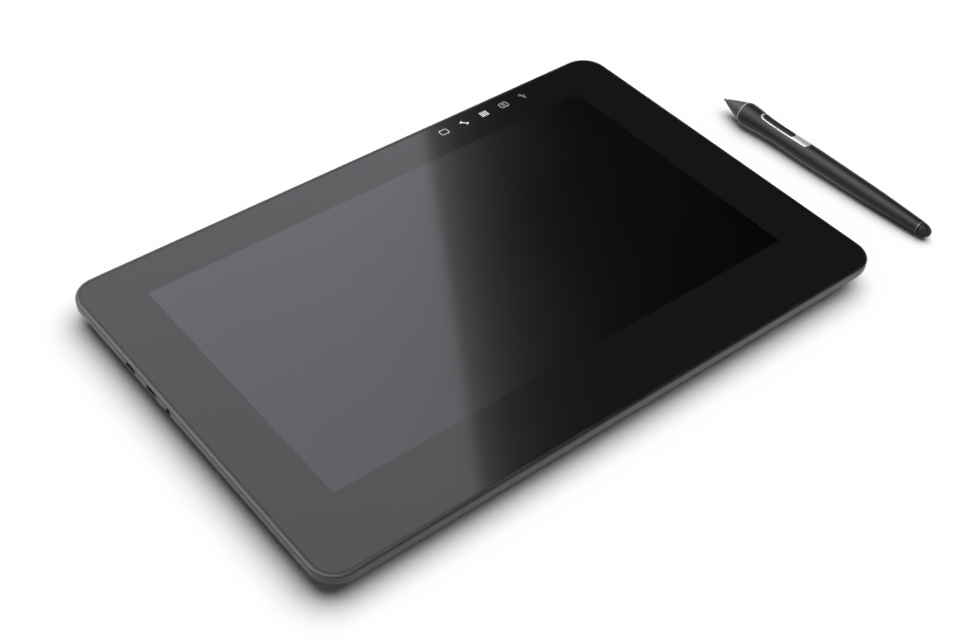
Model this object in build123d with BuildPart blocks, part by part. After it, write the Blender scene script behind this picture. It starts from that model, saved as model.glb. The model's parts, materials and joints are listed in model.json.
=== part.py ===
from build123d import *
import math
import os

# A pen display: a 13 inch drawing tablet with a screen, and its pen lying beside it.
# Millimetres, +Z up. The origin is the centre of the tablet's footprint on the table,
# X runs along the long side and Y away from the user. The pen lies to the right.

os.makedirs("parts", exist_ok=True)

# Tablet outline
WIDTH = 360.0
DEPTH = 235.0
THICKNESS = 17.5
CORNER_R = 15.0
OVERRUN = 2.0
SEAT_CLEAR = 0.1

# Rim and side wall
RIM_EDGE_R = 1.1
RIM_W = 2.2
RIM_LINE_INSET = 1.4
RIM_LINE_W = 0.2
RIM_LINE_DEPTH = 0.2
GLASS_GAP = 0.3
FRAME_T = 2.0
LEDGE_W = 6.0
LEDGE_T = 1.2
PARTING_DROP = 5.1
TURN_DROP = 6.8
TURN_R = 3.5
SEAM_H = 0.3
SEAM_D = 0.5

# Underside
FOOT_PROUD = 1.0
BELLY_INSET = 36.0
BELLY_CORNER_R = 14.0
BELLY_BLEND_R = 18.0
COVER_T = 1.8
COVER_RIM_W = 5.4

# Screen stack, from the glass down. The screen is what the printed bezel leaves clear
SIDE_BEZEL_W = 33.0
BACK_BEZEL_W = 27.7
FRONT_BEZEL_W = 41.9
SCREEN_W = WIDTH - 2 * SIDE_BEZEL_W
SCREEN_D = DEPTH - BACK_BEZEL_W - FRONT_BEZEL_W
SCREEN_SHIFT_Y = (FRONT_BEZEL_W - BACK_BEZEL_W) / 2
GLASS_T = 1.0
GASKET_T = 0.3
GASKET_W = 3.2
PANEL_BORDER = 4.5
PANEL_CORNER_R = 1.0
TOUCH_BORDER = 6.0
LCD_T = 1.2
BACKLIGHT_T = 2.4
DIGITIZER_T = 0.8
SHIELD_T = 0.3
CHASSIS_T = 1.2
PANEL_FRAME_W = 8.0
PANEL_CLEAR = 0.3

# Inner chassis, main board and cooling
CHASSIS_MARGIN = 15.0
CHASSIS_CORNER_R = 8.0
STANDOFF_H = 1.2
STANDOFF_R = 2.6
MAIN_BOARD_T = 1.2
BOARD_BAY_GAP = 5.7
BOARD_RIGHT_GAP = 33.7
BOARD_FRONT_MARGIN = 36.5
BOARD_FAN_GAP = 0.4
BOARD_HOLE_MARGIN = 5.0
CHIP_T = 1.4
CHIP_SIZE = 24.0
SMALL_CHIP_SIZE = 12.0
CHIP_PITCH = 32.0
SPREADER_SIZE = 40.0
SPREADER_T = 0.6
PIPE_W = 8.0
PIPE_T = 1.5
PIPE_BEND_R = 10.0
PIPE_FAN_GAP = 7.7
FIN_T = 0.4
FIN_PITCH = 3.0
FIN_H = 3.4
FIN_D = 9.0

# Fan
FAN_SIZE = 46.0
FAN_H = 5.4
FAN_WALL = 1.2
FAN_CORNER_R = 4.0
FAN_LIFT = 0.4
FAN_BAY_GAP = 8.0
FAN_ARM_COUNT = 3
ROTOR_MARGIN = 4.5
HUB_R = 9.0
HUB_T = 1.0
BLADE_T = 0.9
BLADE_COUNT = 13
BLADE_SWEEP = 14.0
SPINDLE_R = 1.2
RUNNING_CLEAR = 0.06
END_PLAY = 0.3

# Vents in the rear cover
VENT_SLOT_L = 13.0
VENT_SLOT_W = 1.8
VENT_PITCH = 3.8
VENT_COLUMN_PITCH = 17.0
VENT_ROWS = 9
VENT_COLUMNS = 2
OUTLET_SLOTS = 10
OUTLET_SLOT_L = 11.0
OUTLET_PITCH = 4.4
OUTLET_SLOT_TURN = 90.0

# Ports in the side walls
PORT_DROP = 2.9
PORT_RECESS = 0.4
PORT_BEVEL = 0.35
PORT_CLEAR = 0.1
PORT_FROM_BACK = 66.7
USB_PITCH = 19.9
JACK_PITCH = 15.8
USB_SHELL_W = 8.94
USB_SHELL_H = 3.16
USB_WALL = 0.3
USB_DEPTH = 7.35
USB_TONGUE_W = 6.69
USB_TONGUE_T = 0.7
USB_TONGUE_L = 4.45
JACK_BORE_R = 1.8
JACK_NOSE_R = 1.95
JACK_DROP = 3.3
JACK_BODY_W = 6.4
JACK_BODY_H = 3.9
JACK_DEPTH = 14.4
JACK_END_T = 0.4
RIGHT_USB_FROM_BACK = 78.0
CARD_FROM_USB = 34.0
CARD_SLOT_W = 24.4
CARD_SLOT_H = 2.3
CARD_BODY_W = 27.0
CARD_BODY_H = 3.16
CARD_DEPTH = 17.0
CARD_END_T = 1.0
LOCK_FROM_BACK = 52.0
LOCK_W = 7.0
LOCK_H = 2.6
LOCK_PLATE_W = 16.0
LOCK_PLATE_H = 3.0
LOCK_PLATE_T = 1.2
PORT_BOARD_T = 0.6
PORT_BOARD_D = 16.0
PORT_BOARD_MARGIN = 5.0

# Buttons in the back wall
BUTTON_FROM_SIDE = 30.0
BUTTON_PITCH = 22.0
BUTTON_W = 10.0
BUTTON_H = 2.4
BUTTON_PROUD = 0.6
BUTTON_CLEAR = 0.15
FLANGE_W = 12.4
FLANGE_H = 3.0
FLANGE_T = 0.7
FLANGE_CLEAR = 0.15
BUTTON_TRAVEL = 0.5
TOUCH_SLOT_W = 8.0
TOUCH_NUB_W = 4.0
TOUCH_NUB_H = 2.0
TOUCH_TRAVEL = 2.4
NUB_RIB_W = 0.4
NUB_RIB_PITCH = 1.0
NUB_RIB_DEPTH = 0.3
NUB_RIB_COUNT = 3
BUTTON_POCKET_W = 17.0
SWITCH_BODY_W = 6.0
SWITCH_BODY_D = 3.5
SWITCH_BODY_H = 2.6
BUTTON_BOARD_D = 6.0
BUTTON_BOARD_MARGIN = 9.0

# Touch keys behind the glass
KEY_FROM_SIDE = 60.7
KEY_PITCH = 14.9
KEY_COUNT = 5
KEY_FROM_BACK = 10.3
KEY_BOARD_D = 8.0
KEY_BOARD_T = 0.6
KEY_BOARD_MARGIN = 7.0

# Fold-out legs
LEG_W = 42.0
LEG_REACH = 62.0
LEG_T = 5.0
LEG_SIDE_MARGIN = 15.0
LEG_HINGE_MARGIN = 5.5
LEG_CLEAR = 0.5
LEG_EDGE_R = 0.6
LEG_PAD_L = 4.0
LEG_PAD_TENON_L = 2.0
LEG_PAD_TENON_T = 2.2
LEG_POCKET_MARGIN = 4.0
LEG_POCKET_DEPTH = 2.6
LEG_RIB_T = 1.4
LEG_RIB_COUNT = 3
LEG_PIN_R = 1.5
LEG_PIN_CLEAR = 0.05
LEG_PIN_GRIP = 5.0
CHEEK_D = 8.0
THUMB_R = 9.0
THUMB_DEPTH = 1.2

# Feet and screws
FOOT_L = 40.0
FOOT_W = 8.0
FOOT_RECESS = 0.8
FOOT_EDGE_R = 0.4
FRONT_FOOT_MARGIN_X = 34.0
REAR_FOOT_MARGIN_X = 84.0
FOOT_MARGIN_Y = 9.0
SCREW_HEAD_R = 2.4
SCREW_HEAD_H = 1.4
SCREW_SINK = 0.4
SCREW_SHANK_R = 1.2
SCREW_DRIVE_L = 3.0
SCREW_DRIVE_W = 0.5
SCREW_DRIVE_DEPTH = 0.8
SCREW_BOSS_R = 3.5
SCREW_POST_SHARES = (
    (-0.96, 0.9), (0.96, 0.9), (-0.96, 0.0), (0.96, 0.0),
    (-0.96, -0.9), (0.96, -0.9), (0.0, 0.9), (-0.28, -0.9), (0.28, -0.9),
)

# Flat cables
RIBBON_T = 0.3
RIBBON_BEND_R = 0.8
RIBBON_W = 18.0
PORT_RIBBON_W = 9.0
RIBBON_INSET = 12.0
RIBBON_EDGE_GAP = 2.6
RIBBON_SLOT_CLEAR = 0.5
TIMING_BOARD_W = 180.0
TIMING_BOARD_D = 9.0
TIMING_BOARD_T = 1.0
TIMING_BOARD_GAP = 1.0

# Pen, measured back along its axis from the nib's point
PEN_TIP_X = 226.4
PEN_TIP_Y = 42.5
PEN_YAW = 1.95
PEN_L = 156.2
PEN_WALL = 1.5
NOSE_START = 2.6
NOSE_START_R = 1.35
NOSE_BELLY = 0.1
RING_START = 16.4
RING_L = 0.6
RING_R = 6.75
NOSE_END_R = 6.45
SWELL_FROM_TIP = 20.0
SWELL_R = 7.2
NECK_FROM_TIP = 31.0
NECK_R = 6.35
WAIST_FROM_TIP = 62.0
WAIST_R = 5.95
GRIP_END = 90.0
GRIP_END_R = 5.8
SHOULDER_FROM_TIP = 118.0
SHOULDER_R = 5.35
TAIL_RING_FROM_TIP = 148.6
TAIL_RING_L = 0.8
TAIL_R = 4.2
NIB_R = 0.8
NIB_CLEAR = 0.08
ERASER_GAP = 0.6
ERASER_STEM_R = 2.2
ERASER_STEM_L = 9.0
ERASER_R = 3.95
ERASER_DOME_L = 2.3
ERASER_DOME_R = 3.1
COIL_START = 19.0
COIL_L = 14.0
COIL_R = 3.6
COIL_CLEAR = 0.3
COIL_FLANGE_T = 0.8
SENSOR_L = 9.0
PEN_BOARD_W = 7.0
PEN_BOARD_T = 1.0
TAIL_SENSOR_L = 5.0

# Side switch of the pen
BEZEL_START = 29.4
BEZEL_L = 37.1
BEZEL_W = 5.6
BEZEL_PROUD = 0.25
BEZEL_T = 1.3
BEZEL_TAIL_CHAMFER = 1.6
SWITCH_START = 31.0
SWITCH_L = 24.0
SWITCH_W = 3.9
SWITCH_CLEAR = 0.15
SWITCH_PROUD = 0.65
SWITCH_T = 1.7
SWITCH_PIN_R = 0.5
SWITCH_PIN_CLEAR = 0.05
SWITCH_WAIST_DIP = 0.3

# Levels of the tablet, worked out from the sizes above
TOP_Z = THICKNESS
GLASS_Z = TOP_Z - GLASS_T
GASKET_Z = GLASS_Z - GASKET_T
LEDGE_Z = GASKET_Z - LEDGE_T
LCD_Z = GASKET_Z - LCD_T
BACKLIGHT_Z = LCD_Z - BACKLIGHT_T
DIGITIZER_Z = BACKLIGHT_Z - DIGITIZER_T
SHIELD_Z = DIGITIZER_Z - SHIELD_T
CHASSIS_Z = SHIELD_Z - CHASSIS_T
BOARD_TOP_Z = CHASSIS_Z - STANDOFF_H
BOARD_Z = BOARD_TOP_Z - MAIN_BOARD_T
CHIP_Z = BOARD_Z - CHIP_T
SPREADER_Z = CHIP_Z - SPREADER_T
PIPE_Z = SPREADER_Z - PIPE_T
PARTING_Z = TOP_Z - PARTING_DROP
TURN_Z = TOP_Z - TURN_DROP
BELLY_Z = FOOT_PROUD
FLOOR_Z = BELLY_Z + COVER_T
PORT_Z = TOP_Z - PORT_DROP
JACK_Z = TOP_Z - JACK_DROP
PORT_BOARD_TOP_Z = PORT_Z - USB_SHELL_H / 2
PORT_BOARD_Z = PORT_BOARD_TOP_Z - PORT_BOARD_T

# Half sizes that many pieces share
HALF_W = WIDTH / 2
HALF_D = DEPTH / 2
FLAT_HALF_W = HALF_W - BELLY_INSET
FLAT_HALF_D = HALF_D - BELLY_INSET
PANEL_W = SCREEN_W + 2 * PANEL_BORDER
PANEL_D = SCREEN_D + 2 * PANEL_BORDER
PANEL_FRAME_HALF_W = PANEL_W / 2 + PANEL_FRAME_W
PANEL_FRAME_HALF_D = PANEL_D / 2 + PANEL_FRAME_W
CHASSIS_HALF_W = HALF_W - CHASSIS_MARGIN
CHASSIS_HALF_D = HALF_D - CHASSIS_MARGIN


def outline(inset, mode=Mode.ADD):
    """The tablet's rounded outline, moved in by inset. Used inside a sketch."""
    corner_r = max(CORNER_R - inset, PANEL_CORNER_R)
    RectangleRounded(WIDTH - 2 * inset, DEPTH - 2 * inset, corner_r, mode=mode)


def plate(half_w, half_d, radius, low, high, x=0, y=0):
    """A flat rounded plate between two levels, centred at x, y."""
    with BuildPart() as slab:
        with BuildSketch(Plane.XY.offset(low)):
            with Locations((x, y)):
                RectangleRounded(2 * half_w, 2 * half_d, radius)
        extrude(amount=high - low)
    return slab.part


# The body's outer form: an upright wall, then a shallow dish below it that runs in to a flat
with BuildPart() as outer_form:
    with BuildSketch(Plane.XY.offset(TURN_Z)):
        outline(0)
    extrude(amount=TOP_Z - TURN_Z)
    with BuildSketch(Plane.XY.offset(TURN_Z)):
        outline(0)
    with BuildSketch(Plane.XY.offset(BELLY_Z)):
        RectangleRounded(2 * FLAT_HALF_W, 2 * FLAT_HALF_D, BELLY_CORNER_R)
    loft(ruled=True)
    fillet(outer_form.edges().group_by(Axis.Z)[-1], radius=RIM_EDGE_R)
    turn_edges = outer_form.edges().filter_by_position(Axis.Z, TURN_Z, TURN_Z)
    fillet(turn_edges, radius=TURN_R)
    fillet(outer_form.edges().group_by(Axis.Z)[0], radius=BELLY_BLEND_R)

# The room inside the rear cover runs from a broad rim at the parting down to the floor, where it
# keeps one wall thickness from the dish
dish_slope = (TURN_Z - BELLY_Z) / BELLY_INSET
dish_rise = COVER_T * math.sqrt(1 + dish_slope**2)
floor_inset = (TURN_Z + dish_rise - FLOOR_Z) / dish_slope
with BuildPart() as cover_room:
    with BuildSketch(Plane.XY.offset(PARTING_Z)):
        outline(COVER_RIM_W)
    with BuildSketch(Plane.XY.offset(FLOOR_Z)):
        RectangleRounded(WIDTH - 2 * floor_inset, DEPTH - 2 * floor_inset, BELLY_CORNER_R)
    loft(ruled=True)

# Places of the ports, from the back edge
usb_rear_y = HALF_D - PORT_FROM_BACK
usb_front_y = usb_rear_y - USB_PITCH
jack_y = usb_front_y - JACK_PITCH
right_usb_y = HALF_D - RIGHT_USB_FROM_BACK
card_y = right_usb_y - CARD_FROM_USB
lock_y = HALF_D - LOCK_FROM_BACK
power_x = HALF_W - BUTTON_FROM_SIDE
touch_x = power_x - BUTTON_PITCH


def left_wall(y, z):
    """A plane on the left wall that looks out of it, with its own X towards the user."""
    return Plane(origin=(-HALF_W, y, z), x_dir=(0, -1, 0), z_dir=(-1, 0, 0))


def right_wall(y, z):
    """A plane on the right wall that looks out of it, with its own X away from the user."""
    return Plane(origin=(HALF_W, y, z), x_dir=(0, 1, 0), z_dir=(1, 0, 0))


def back_wall(x, z):
    """A plane on the back wall that looks out of it."""
    return Plane(origin=(x, HALF_D, z), x_dir=(-1, 0, 0), z_dir=(0, 1, 0))


usb_places = {
    "usb_receptacle_left_rear": left_wall(usb_rear_y, PORT_Z),
    "usb_receptacle_left_front": left_wall(usb_front_y, PORT_Z),
    "usb_receptacle_right": right_wall(right_usb_y, PORT_Z),
}
jack_place = left_wall(jack_y, JACK_Z)
jack_nose_l = LEDGE_W - PORT_RECESS + SEAT_CLEAR
usb_hole_w = USB_SHELL_W + 2 * PORT_CLEAR
usb_hole_h = USB_SHELL_H + 2 * PORT_CLEAR
card_place = right_wall(card_y, PORT_Z)
lock_place = right_wall(lock_y, PORT_Z)
power_place = back_wall(power_x, PORT_Z)
touch_place = back_wall(touch_x, PORT_Z)

# Side frame: the wall with the rim round the glass, the ledge under it and the port cut-outs
with BuildPart() as side_frame:
    add(outer_form.part)
    split(bisect_by=Plane.XY.offset(PARTING_Z), keep=Keep.TOP)
    with BuildSketch(Plane.XY.offset(PARTING_Z)):
        outline(FRAME_T)
    extrude(amount=LEDGE_Z - PARTING_Z, mode=Mode.SUBTRACT)
    with BuildSketch(Plane.XY.offset(LEDGE_Z)):
        outline(LEDGE_W)
    extrude(amount=LEDGE_T, mode=Mode.SUBTRACT)
    with BuildSketch(Plane.XY.offset(GASKET_Z)):
        outline(RIM_W)
    extrude(amount=TOP_Z - GASKET_Z, mode=Mode.SUBTRACT)
    with BuildSketch(Plane.XY.offset(TOP_Z)):
        outline(RIM_LINE_INSET)
        outline(RIM_LINE_INSET + RIM_LINE_W, Mode.SUBTRACT)
    extrude(amount=-RIM_LINE_DEPTH, mode=Mode.SUBTRACT)
    for place in usb_places.values():
        with BuildSketch(place):
            SlotOverall(usb_hole_w, usb_hole_h)
        extrude(amount=-(USB_DEPTH + OVERRUN), mode=Mode.SUBTRACT)
        with BuildSketch(place):
            SlotOverall(usb_hole_w + 2 * PORT_BEVEL, usb_hole_h + 2 * PORT_BEVEL)
        with BuildSketch(place.offset(-PORT_BEVEL)):
            SlotOverall(usb_hole_w, usb_hole_h)
        loft(ruled=True, mode=Mode.SUBTRACT)
    with BuildSketch(jack_place):
        Circle(JACK_NOSE_R + PORT_CLEAR)
    extrude(amount=-JACK_DEPTH, mode=Mode.SUBTRACT)
    with BuildSketch(card_place):
        Rectangle(CARD_BODY_W + 2 * PORT_CLEAR, CARD_BODY_H + 2 * PORT_CLEAR)
    extrude(amount=-CARD_DEPTH, mode=Mode.SUBTRACT)
    with BuildSketch(lock_place):
        SlotOverall(LOCK_W, LOCK_H)
    extrude(amount=-LEDGE_W, mode=Mode.SUBTRACT)
    with BuildSketch(lock_place.offset(-FRAME_T)):
        Rectangle(LOCK_PLATE_W + 2 * SEAT_CLEAR, LOCK_PLATE_H + 2 * SEAT_CLEAR)
    extrude(amount=-LEDGE_W, mode=Mode.SUBTRACT)
    with BuildSketch(power_place):
        SlotOverall(BUTTON_W + 2 * BUTTON_CLEAR, BUTTON_H + 2 * BUTTON_CLEAR)
    extrude(amount=-LEDGE_W, mode=Mode.SUBTRACT)
    with BuildSketch(touch_place):
        SlotOverall(TOUCH_SLOT_W, TOUCH_NUB_H + 2 * BUTTON_CLEAR)
    extrude(amount=-LEDGE_W, mode=Mode.SUBTRACT)
    with BuildSketch(Plane.XY.offset(PARTING_Z)):
        with Locations((power_x, HALF_D - FRAME_T), (touch_x, HALF_D - FRAME_T)):
            Rectangle(BUTTON_POCKET_W, LEDGE_W, align=(Align.CENTER, Align.MAX))
    extrude(amount=GASKET_Z - PARTING_Z, mode=Mode.SUBTRACT)

side_frame.part.label = "side_frame"
export_step(side_frame.part, "parts/side_frame.step")

# Places of the legs. They lie along Y in bays under the cover and turn about a pin near its back.
leg_x = FLAT_HALF_W - LEG_SIDE_MARGIN - LEG_W / 2
leg_hinge_y = FLAT_HALF_D - LEG_HINGE_MARGIN
leg_axis_z = BELLY_Z + LEG_T / 2
bay_half_w = LEG_W / 2 + LEG_CLEAR
bay_back_y = leg_hinge_y + LEG_T / 2 + LEG_CLEAR
bay_front_y = leg_hinge_y - LEG_REACH - LEG_CLEAR
bay_roof_z = BELLY_Z + LEG_T + LEG_CLEAR
bay_y = (bay_back_y + bay_front_y) / 2
bay_d = bay_back_y - bay_front_y
leg_sides = {"left": -1, "right": 1}
leg_centres = [(side * leg_x, bay_y) for side in leg_sides.values()]

# Places of the screws, feet and fan
screw_places = [(a * FLAT_HALF_W, b * FLAT_HALF_D) for a, b in SCREW_POST_SHARES]
front_foot_x = FLAT_HALF_W - FRONT_FOOT_MARGIN_X
rear_foot_x = FLAT_HALF_W - REAR_FOOT_MARGIN_X
foot_y = FLAT_HALF_D - FOOT_MARGIN_Y
foot_places = {
    "foot_front_left": (-front_foot_x, -foot_y),
    "foot_front_right": (front_foot_x, -foot_y),
    "foot_rear_left": (-rear_foot_x, foot_y),
    "foot_rear_right": (rear_foot_x, foot_y),
}
bay_inner_x = leg_x - bay_half_w - COVER_T
fan_x = bay_inner_x - FAN_BAY_GAP - FAN_SIZE / 2
fan_z = FLOOR_Z + FAN_LIFT
fin_y = leg_hinge_y
fan_y = fin_y - FIN_D / 2 - SEAT_CLEAR - FAN_SIZE / 2
screw_head_z = BELLY_Z + SCREW_SINK + SCREW_HEAD_H

# Rear cover: the dished shell with the leg bays, hinge cheeks, screw posts, vents and foot seats
with BuildPart() as rear_cover:
    add(outer_form.part)
    split(bisect_by=Plane.XY.offset(PARTING_Z), keep=Keep.BOTTOM)
    add(cover_room.part, mode=Mode.SUBTRACT)
    with BuildSketch(Plane.XY.offset(PARTING_Z)):
        outline(0)
        outline(SEAM_D, Mode.SUBTRACT)
    extrude(amount=-SEAM_H, mode=Mode.SUBTRACT)
    with BuildSketch(Plane.XY.offset(BELLY_Z + COVER_T / 2)):
        with Locations(*leg_centres):
            Rectangle(2 * (bay_half_w + COVER_T), bay_d + 2 * COVER_T)
        for side in leg_sides.values():
            with Locations((side * leg_x, leg_hinge_y)):
                Rectangle(2 * (bay_half_w + LEG_PIN_GRIP + COVER_T), CHEEK_D)
    extrude(amount=bay_roof_z + COVER_T / 2 - BELLY_Z)
    with BuildSketch(Plane.XY.offset(BELLY_Z + COVER_T / 2)):
        with Locations(*screw_places):
            Circle(SCREW_BOSS_R)
    extrude(amount=CHASSIS_Z - BELLY_Z - COVER_T / 2)
    with BuildSketch(Plane.XY.offset(BELLY_Z - OVERRUN)):
        with Locations(*leg_centres):
            Rectangle(2 * bay_half_w, bay_d)
    extrude(amount=bay_roof_z - BELLY_Z + OVERRUN, mode=Mode.SUBTRACT)
    for side in leg_sides.values():
        with BuildSketch(Plane.XY.offset(BELLY_Z - OVERRUN)):
            with Locations((side * leg_x, bay_front_y)):
                Circle(THUMB_R)
        extrude(amount=THUMB_DEPTH + OVERRUN, mode=Mode.SUBTRACT)
        with BuildSketch(Plane.YZ.offset(side * leg_x)):
            with Locations((leg_hinge_y, leg_axis_z)):
                Circle(LEG_PIN_R)
        extrude(amount=bay_half_w + LEG_PIN_GRIP, both=True, mode=Mode.SUBTRACT)
    with BuildSketch(Plane.XY.offset(BELLY_Z - OVERRUN)):
        with Locations(*screw_places):
            Circle(SCREW_HEAD_R + SEAT_CLEAR)
    extrude(amount=screw_head_z - BELLY_Z + OVERRUN, mode=Mode.SUBTRACT)
    with BuildSketch(Plane.XY.offset(BELLY_Z)):
        with Locations(*screw_places):
            Circle(SCREW_SHANK_R + SEAT_CLEAR)
    extrude(amount=CHASSIS_Z - BELLY_Z + OVERRUN, mode=Mode.SUBTRACT)
    with BuildSketch(Plane.XY.offset(BELLY_Z - OVERRUN)):
        with Locations(*foot_places.values()):
            SlotOverall(FOOT_L, FOOT_W)
    extrude(amount=FOOT_RECESS + OVERRUN, mode=Mode.SUBTRACT)
    with BuildSketch(Plane.XY.offset(BELLY_Z - OVERRUN)):
        with Locations((fan_x, fan_y)):
            with GridLocations(VENT_COLUMN_PITCH, VENT_PITCH, VENT_COLUMNS, VENT_ROWS):
                SlotOverall(VENT_SLOT_L, VENT_SLOT_W)
        with Locations((fan_x, FLAT_HALF_D + OUTLET_SLOT_L)):
            with GridLocations(OUTLET_PITCH, OUTLET_PITCH, OUTLET_SLOTS, 1):
                SlotOverall(OUTLET_SLOT_L, VENT_SLOT_W, rotation=OUTLET_SLOT_TURN)
    extrude(amount=PARTING_Z - BELLY_Z + OVERRUN, mode=Mode.SUBTRACT)
    with BuildSketch(jack_place):
        Circle(JACK_NOSE_R + PORT_CLEAR)
    extrude(amount=-JACK_DEPTH, mode=Mode.SUBTRACT)
    with BuildSketch(jack_place.offset(SEAT_CLEAR - jack_nose_l - PORT_RECESS)):
        Rectangle(JACK_BODY_W + 2 * SEAT_CLEAR, JACK_BODY_H + 2 * SEAT_CLEAR)
    extrude(amount=-JACK_DEPTH, mode=Mode.SUBTRACT)

rear_cover.part.label = "rear_cover"
export_step(rear_cover.part, "parts/rear_cover.step")

# Cover glass, with its edge just below the rim's top face all round
with BuildPart() as cover_glass:
    with BuildSketch(Plane.XY.offset(GLASS_Z)):
        outline(RIM_W + GLASS_GAP)
    extrude(amount=GLASS_T)

cover_glass.part.label = "cover_glass"
export_step(cover_glass.part, "parts/cover_glass.step")

# Foam tape that holds the glass on the ledge
with BuildPart() as glass_gasket:
    with BuildSketch(Plane.XY.offset(GASKET_Z)):
        outline(RIM_W + GLASS_GAP)
        outline(RIM_W + GLASS_GAP + GASKET_W, Mode.SUBTRACT)
    extrude(amount=GASKET_T)

glass_gasket.part.label = "glass_gasket"
export_step(glass_gasket.part, "parts/glass_gasket.step")

# Touch sensing film, liquid crystal panel, backlight and pen sensing board
stack_layers = {
    "touch_film": (TOUCH_BORDER, GASKET_Z, GLASS_Z),
    "lcd_panel": (PANEL_BORDER, LCD_Z, GASKET_Z),
    "backlight_unit": (PANEL_BORDER, BACKLIGHT_Z, LCD_Z),
    "digitizer_board": (PANEL_BORDER, DIGITIZER_Z, BACKLIGHT_Z),
}
for layer_name, (border, low, high) in stack_layers.items():
    layer = plate(
        SCREEN_W / 2 + border, SCREEN_D / 2 + border, PANEL_CORNER_R, low, high, y=SCREEN_SHIFT_Y
    )
    layer.label = layer_name
    export_step(layer, f"parts/{layer_name}.step")

# Moulded frame round the panel, standing on the chassis
with BuildPart() as panel_frame:
    with BuildSketch(Plane.XY.offset(SHIELD_Z)):
        with Locations((0, SCREEN_SHIFT_Y)):
            RectangleRounded(2 * PANEL_FRAME_HALF_W, 2 * PANEL_FRAME_HALF_D, PANEL_FRAME_W / 2)
            Rectangle(
                PANEL_W + 2 * PANEL_CLEAR, PANEL_D + 2 * PANEL_CLEAR, mode=Mode.SUBTRACT
            )
    extrude(amount=GASKET_Z - SHIELD_Z)

panel_frame.part.label = "panel_frame"
export_step(panel_frame.part, "parts/panel_frame.step")

# Extents of the boards behind the ports
left_board_back = usb_rear_y + USB_SHELL_W / 2 + PORT_BOARD_MARGIN
left_board_front = jack_y - JACK_BODY_W / 2 - PORT_BOARD_MARGIN
right_board_back = right_usb_y + USB_SHELL_W / 2 + PORT_BOARD_MARGIN
right_board_front = card_y - CARD_BODY_W / 2 - PORT_BOARD_MARGIN
board_outer_x = HALF_W - FRAME_T - SEAT_CLEAR

# The main board fills the room between the leg bays, in front of the fan
board_left_x = BOARD_BAY_GAP - bay_inner_x
board_right_x = bay_inner_x - BOARD_RIGHT_GAP
board_front_y = BOARD_FRONT_MARGIN - FLAT_HALF_D
board_back_y = fan_y - FAN_SIZE / 2 - BOARD_FAN_GAP
board_x = (board_left_x + board_right_x) / 2
board_y = (board_front_y + board_back_y) / 2
board_w = board_right_x - board_left_x
board_d = board_back_y - board_front_y

# Places of the flat cables
timing_y = SCREEN_SHIFT_Y - PANEL_FRAME_HALF_D - TIMING_BOARD_GAP - TIMING_BOARD_D / 2
digitizer_cable_y = board_back_y + RIBBON_INSET
side_cable_x = CHASSIS_HALF_W - RIBBON_EDGE_GAP
left_cable_y = left_board_front + PORT_RIBBON_W / 2 + RIBBON_SLOT_CLEAR
right_cable_y = card_y + PORT_RIBBON_W / 2
slot_w = RIBBON_W + 2 * RIBBON_SLOT_CLEAR
port_slot_w = PORT_RIBBON_W + 2 * RIBBON_SLOT_CLEAR
slot_t = RIBBON_T + 2 * RIBBON_SLOT_CLEAR

# Stiff inner chassis with the standoffs for the main board below it
standoff_places = [
    (board_x + a * (board_w / 2 - BOARD_HOLE_MARGIN),
     board_y + b * (board_d / 2 - BOARD_HOLE_MARGIN))
    for a in (-1, 1)
    for b in (-1, 1)
]
with BuildPart() as inner_chassis:
    with BuildSketch(Plane.XY.offset(CHASSIS_Z)):
        RectangleRounded(2 * CHASSIS_HALF_W, 2 * CHASSIS_HALF_D, CHASSIS_CORNER_R)
        with Locations(*screw_places):
            Circle(SCREW_SHANK_R, mode=Mode.SUBTRACT)
        with Locations((board_x, timing_y), (board_x, digitizer_cable_y)):
            Rectangle(slot_w, slot_t, mode=Mode.SUBTRACT)
        with Locations((-side_cable_x, left_cable_y), (side_cable_x, right_cable_y)):
            Rectangle(slot_t, port_slot_w, mode=Mode.SUBTRACT)
    extrude(amount=CHASSIS_T)
    with BuildSketch(Plane.XY.offset(CHASSIS_Z)):
        with Locations(*standoff_places):
            Circle(STANDOFF_R)
    extrude(amount=-STANDOFF_H)
    with BuildSketch(Plane.XY.offset(CHASSIS_Z + CHASSIS_T)):
        with Locations(*standoff_places):
            Circle(SCREW_SHANK_R)
    extrude(amount=-(CHASSIS_T + STANDOFF_H), mode=Mode.SUBTRACT)

inner_chassis.part.label = "inner_chassis"
export_step(inner_chassis.part, "parts/inner_chassis.step")

# Steel shield behind the pen sensing board, with a slot for the board's cable
with BuildPart() as shield_plate:
    with BuildSketch(Plane.XY.offset(SHIELD_Z)):
        with Locations((0, SCREEN_SHIFT_Y)):
            RectangleRounded(PANEL_W, PANEL_D, PANEL_CORNER_R)
        with Locations((board_x, digitizer_cable_y)):
            Rectangle(slot_w, slot_t, mode=Mode.SUBTRACT)
    extrude(amount=SHIELD_T)

shield_plate.part.label = "shield_plate"
export_step(shield_plate.part, "parts/shield_plate.step")

# Main board, hung under the chassis on its standoffs
with BuildPart() as main_board:
    with BuildSketch(Plane.XY.offset(BOARD_Z)):
        with Locations((board_x, board_y)):
            Rectangle(board_w, board_d)
        with Locations(*standoff_places):
            Circle(SCREW_SHANK_R + SEAT_CLEAR, mode=Mode.SUBTRACT)
    extrude(amount=MAIN_BOARD_T)

main_board.part.label = "main_board"
export_step(main_board.part, "parts/main_board.step")

# Chips on the board's underside: the processor in the middle and smaller ones beside it
with BuildPart() as board_chips:
    with BuildSketch(Plane.XY.offset(CHIP_Z)):
        with Locations((board_x, board_y)):
            Rectangle(CHIP_SIZE, CHIP_SIZE)
            with Locations((-CHIP_PITCH, 0), (CHIP_PITCH, 0)):
                Rectangle(SMALL_CHIP_SIZE, SMALL_CHIP_SIZE)
    extrude(amount=CHIP_T)

board_chips.part.label = "board_chips"
export_step(board_chips.part, "parts/board_chips.step")


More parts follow.
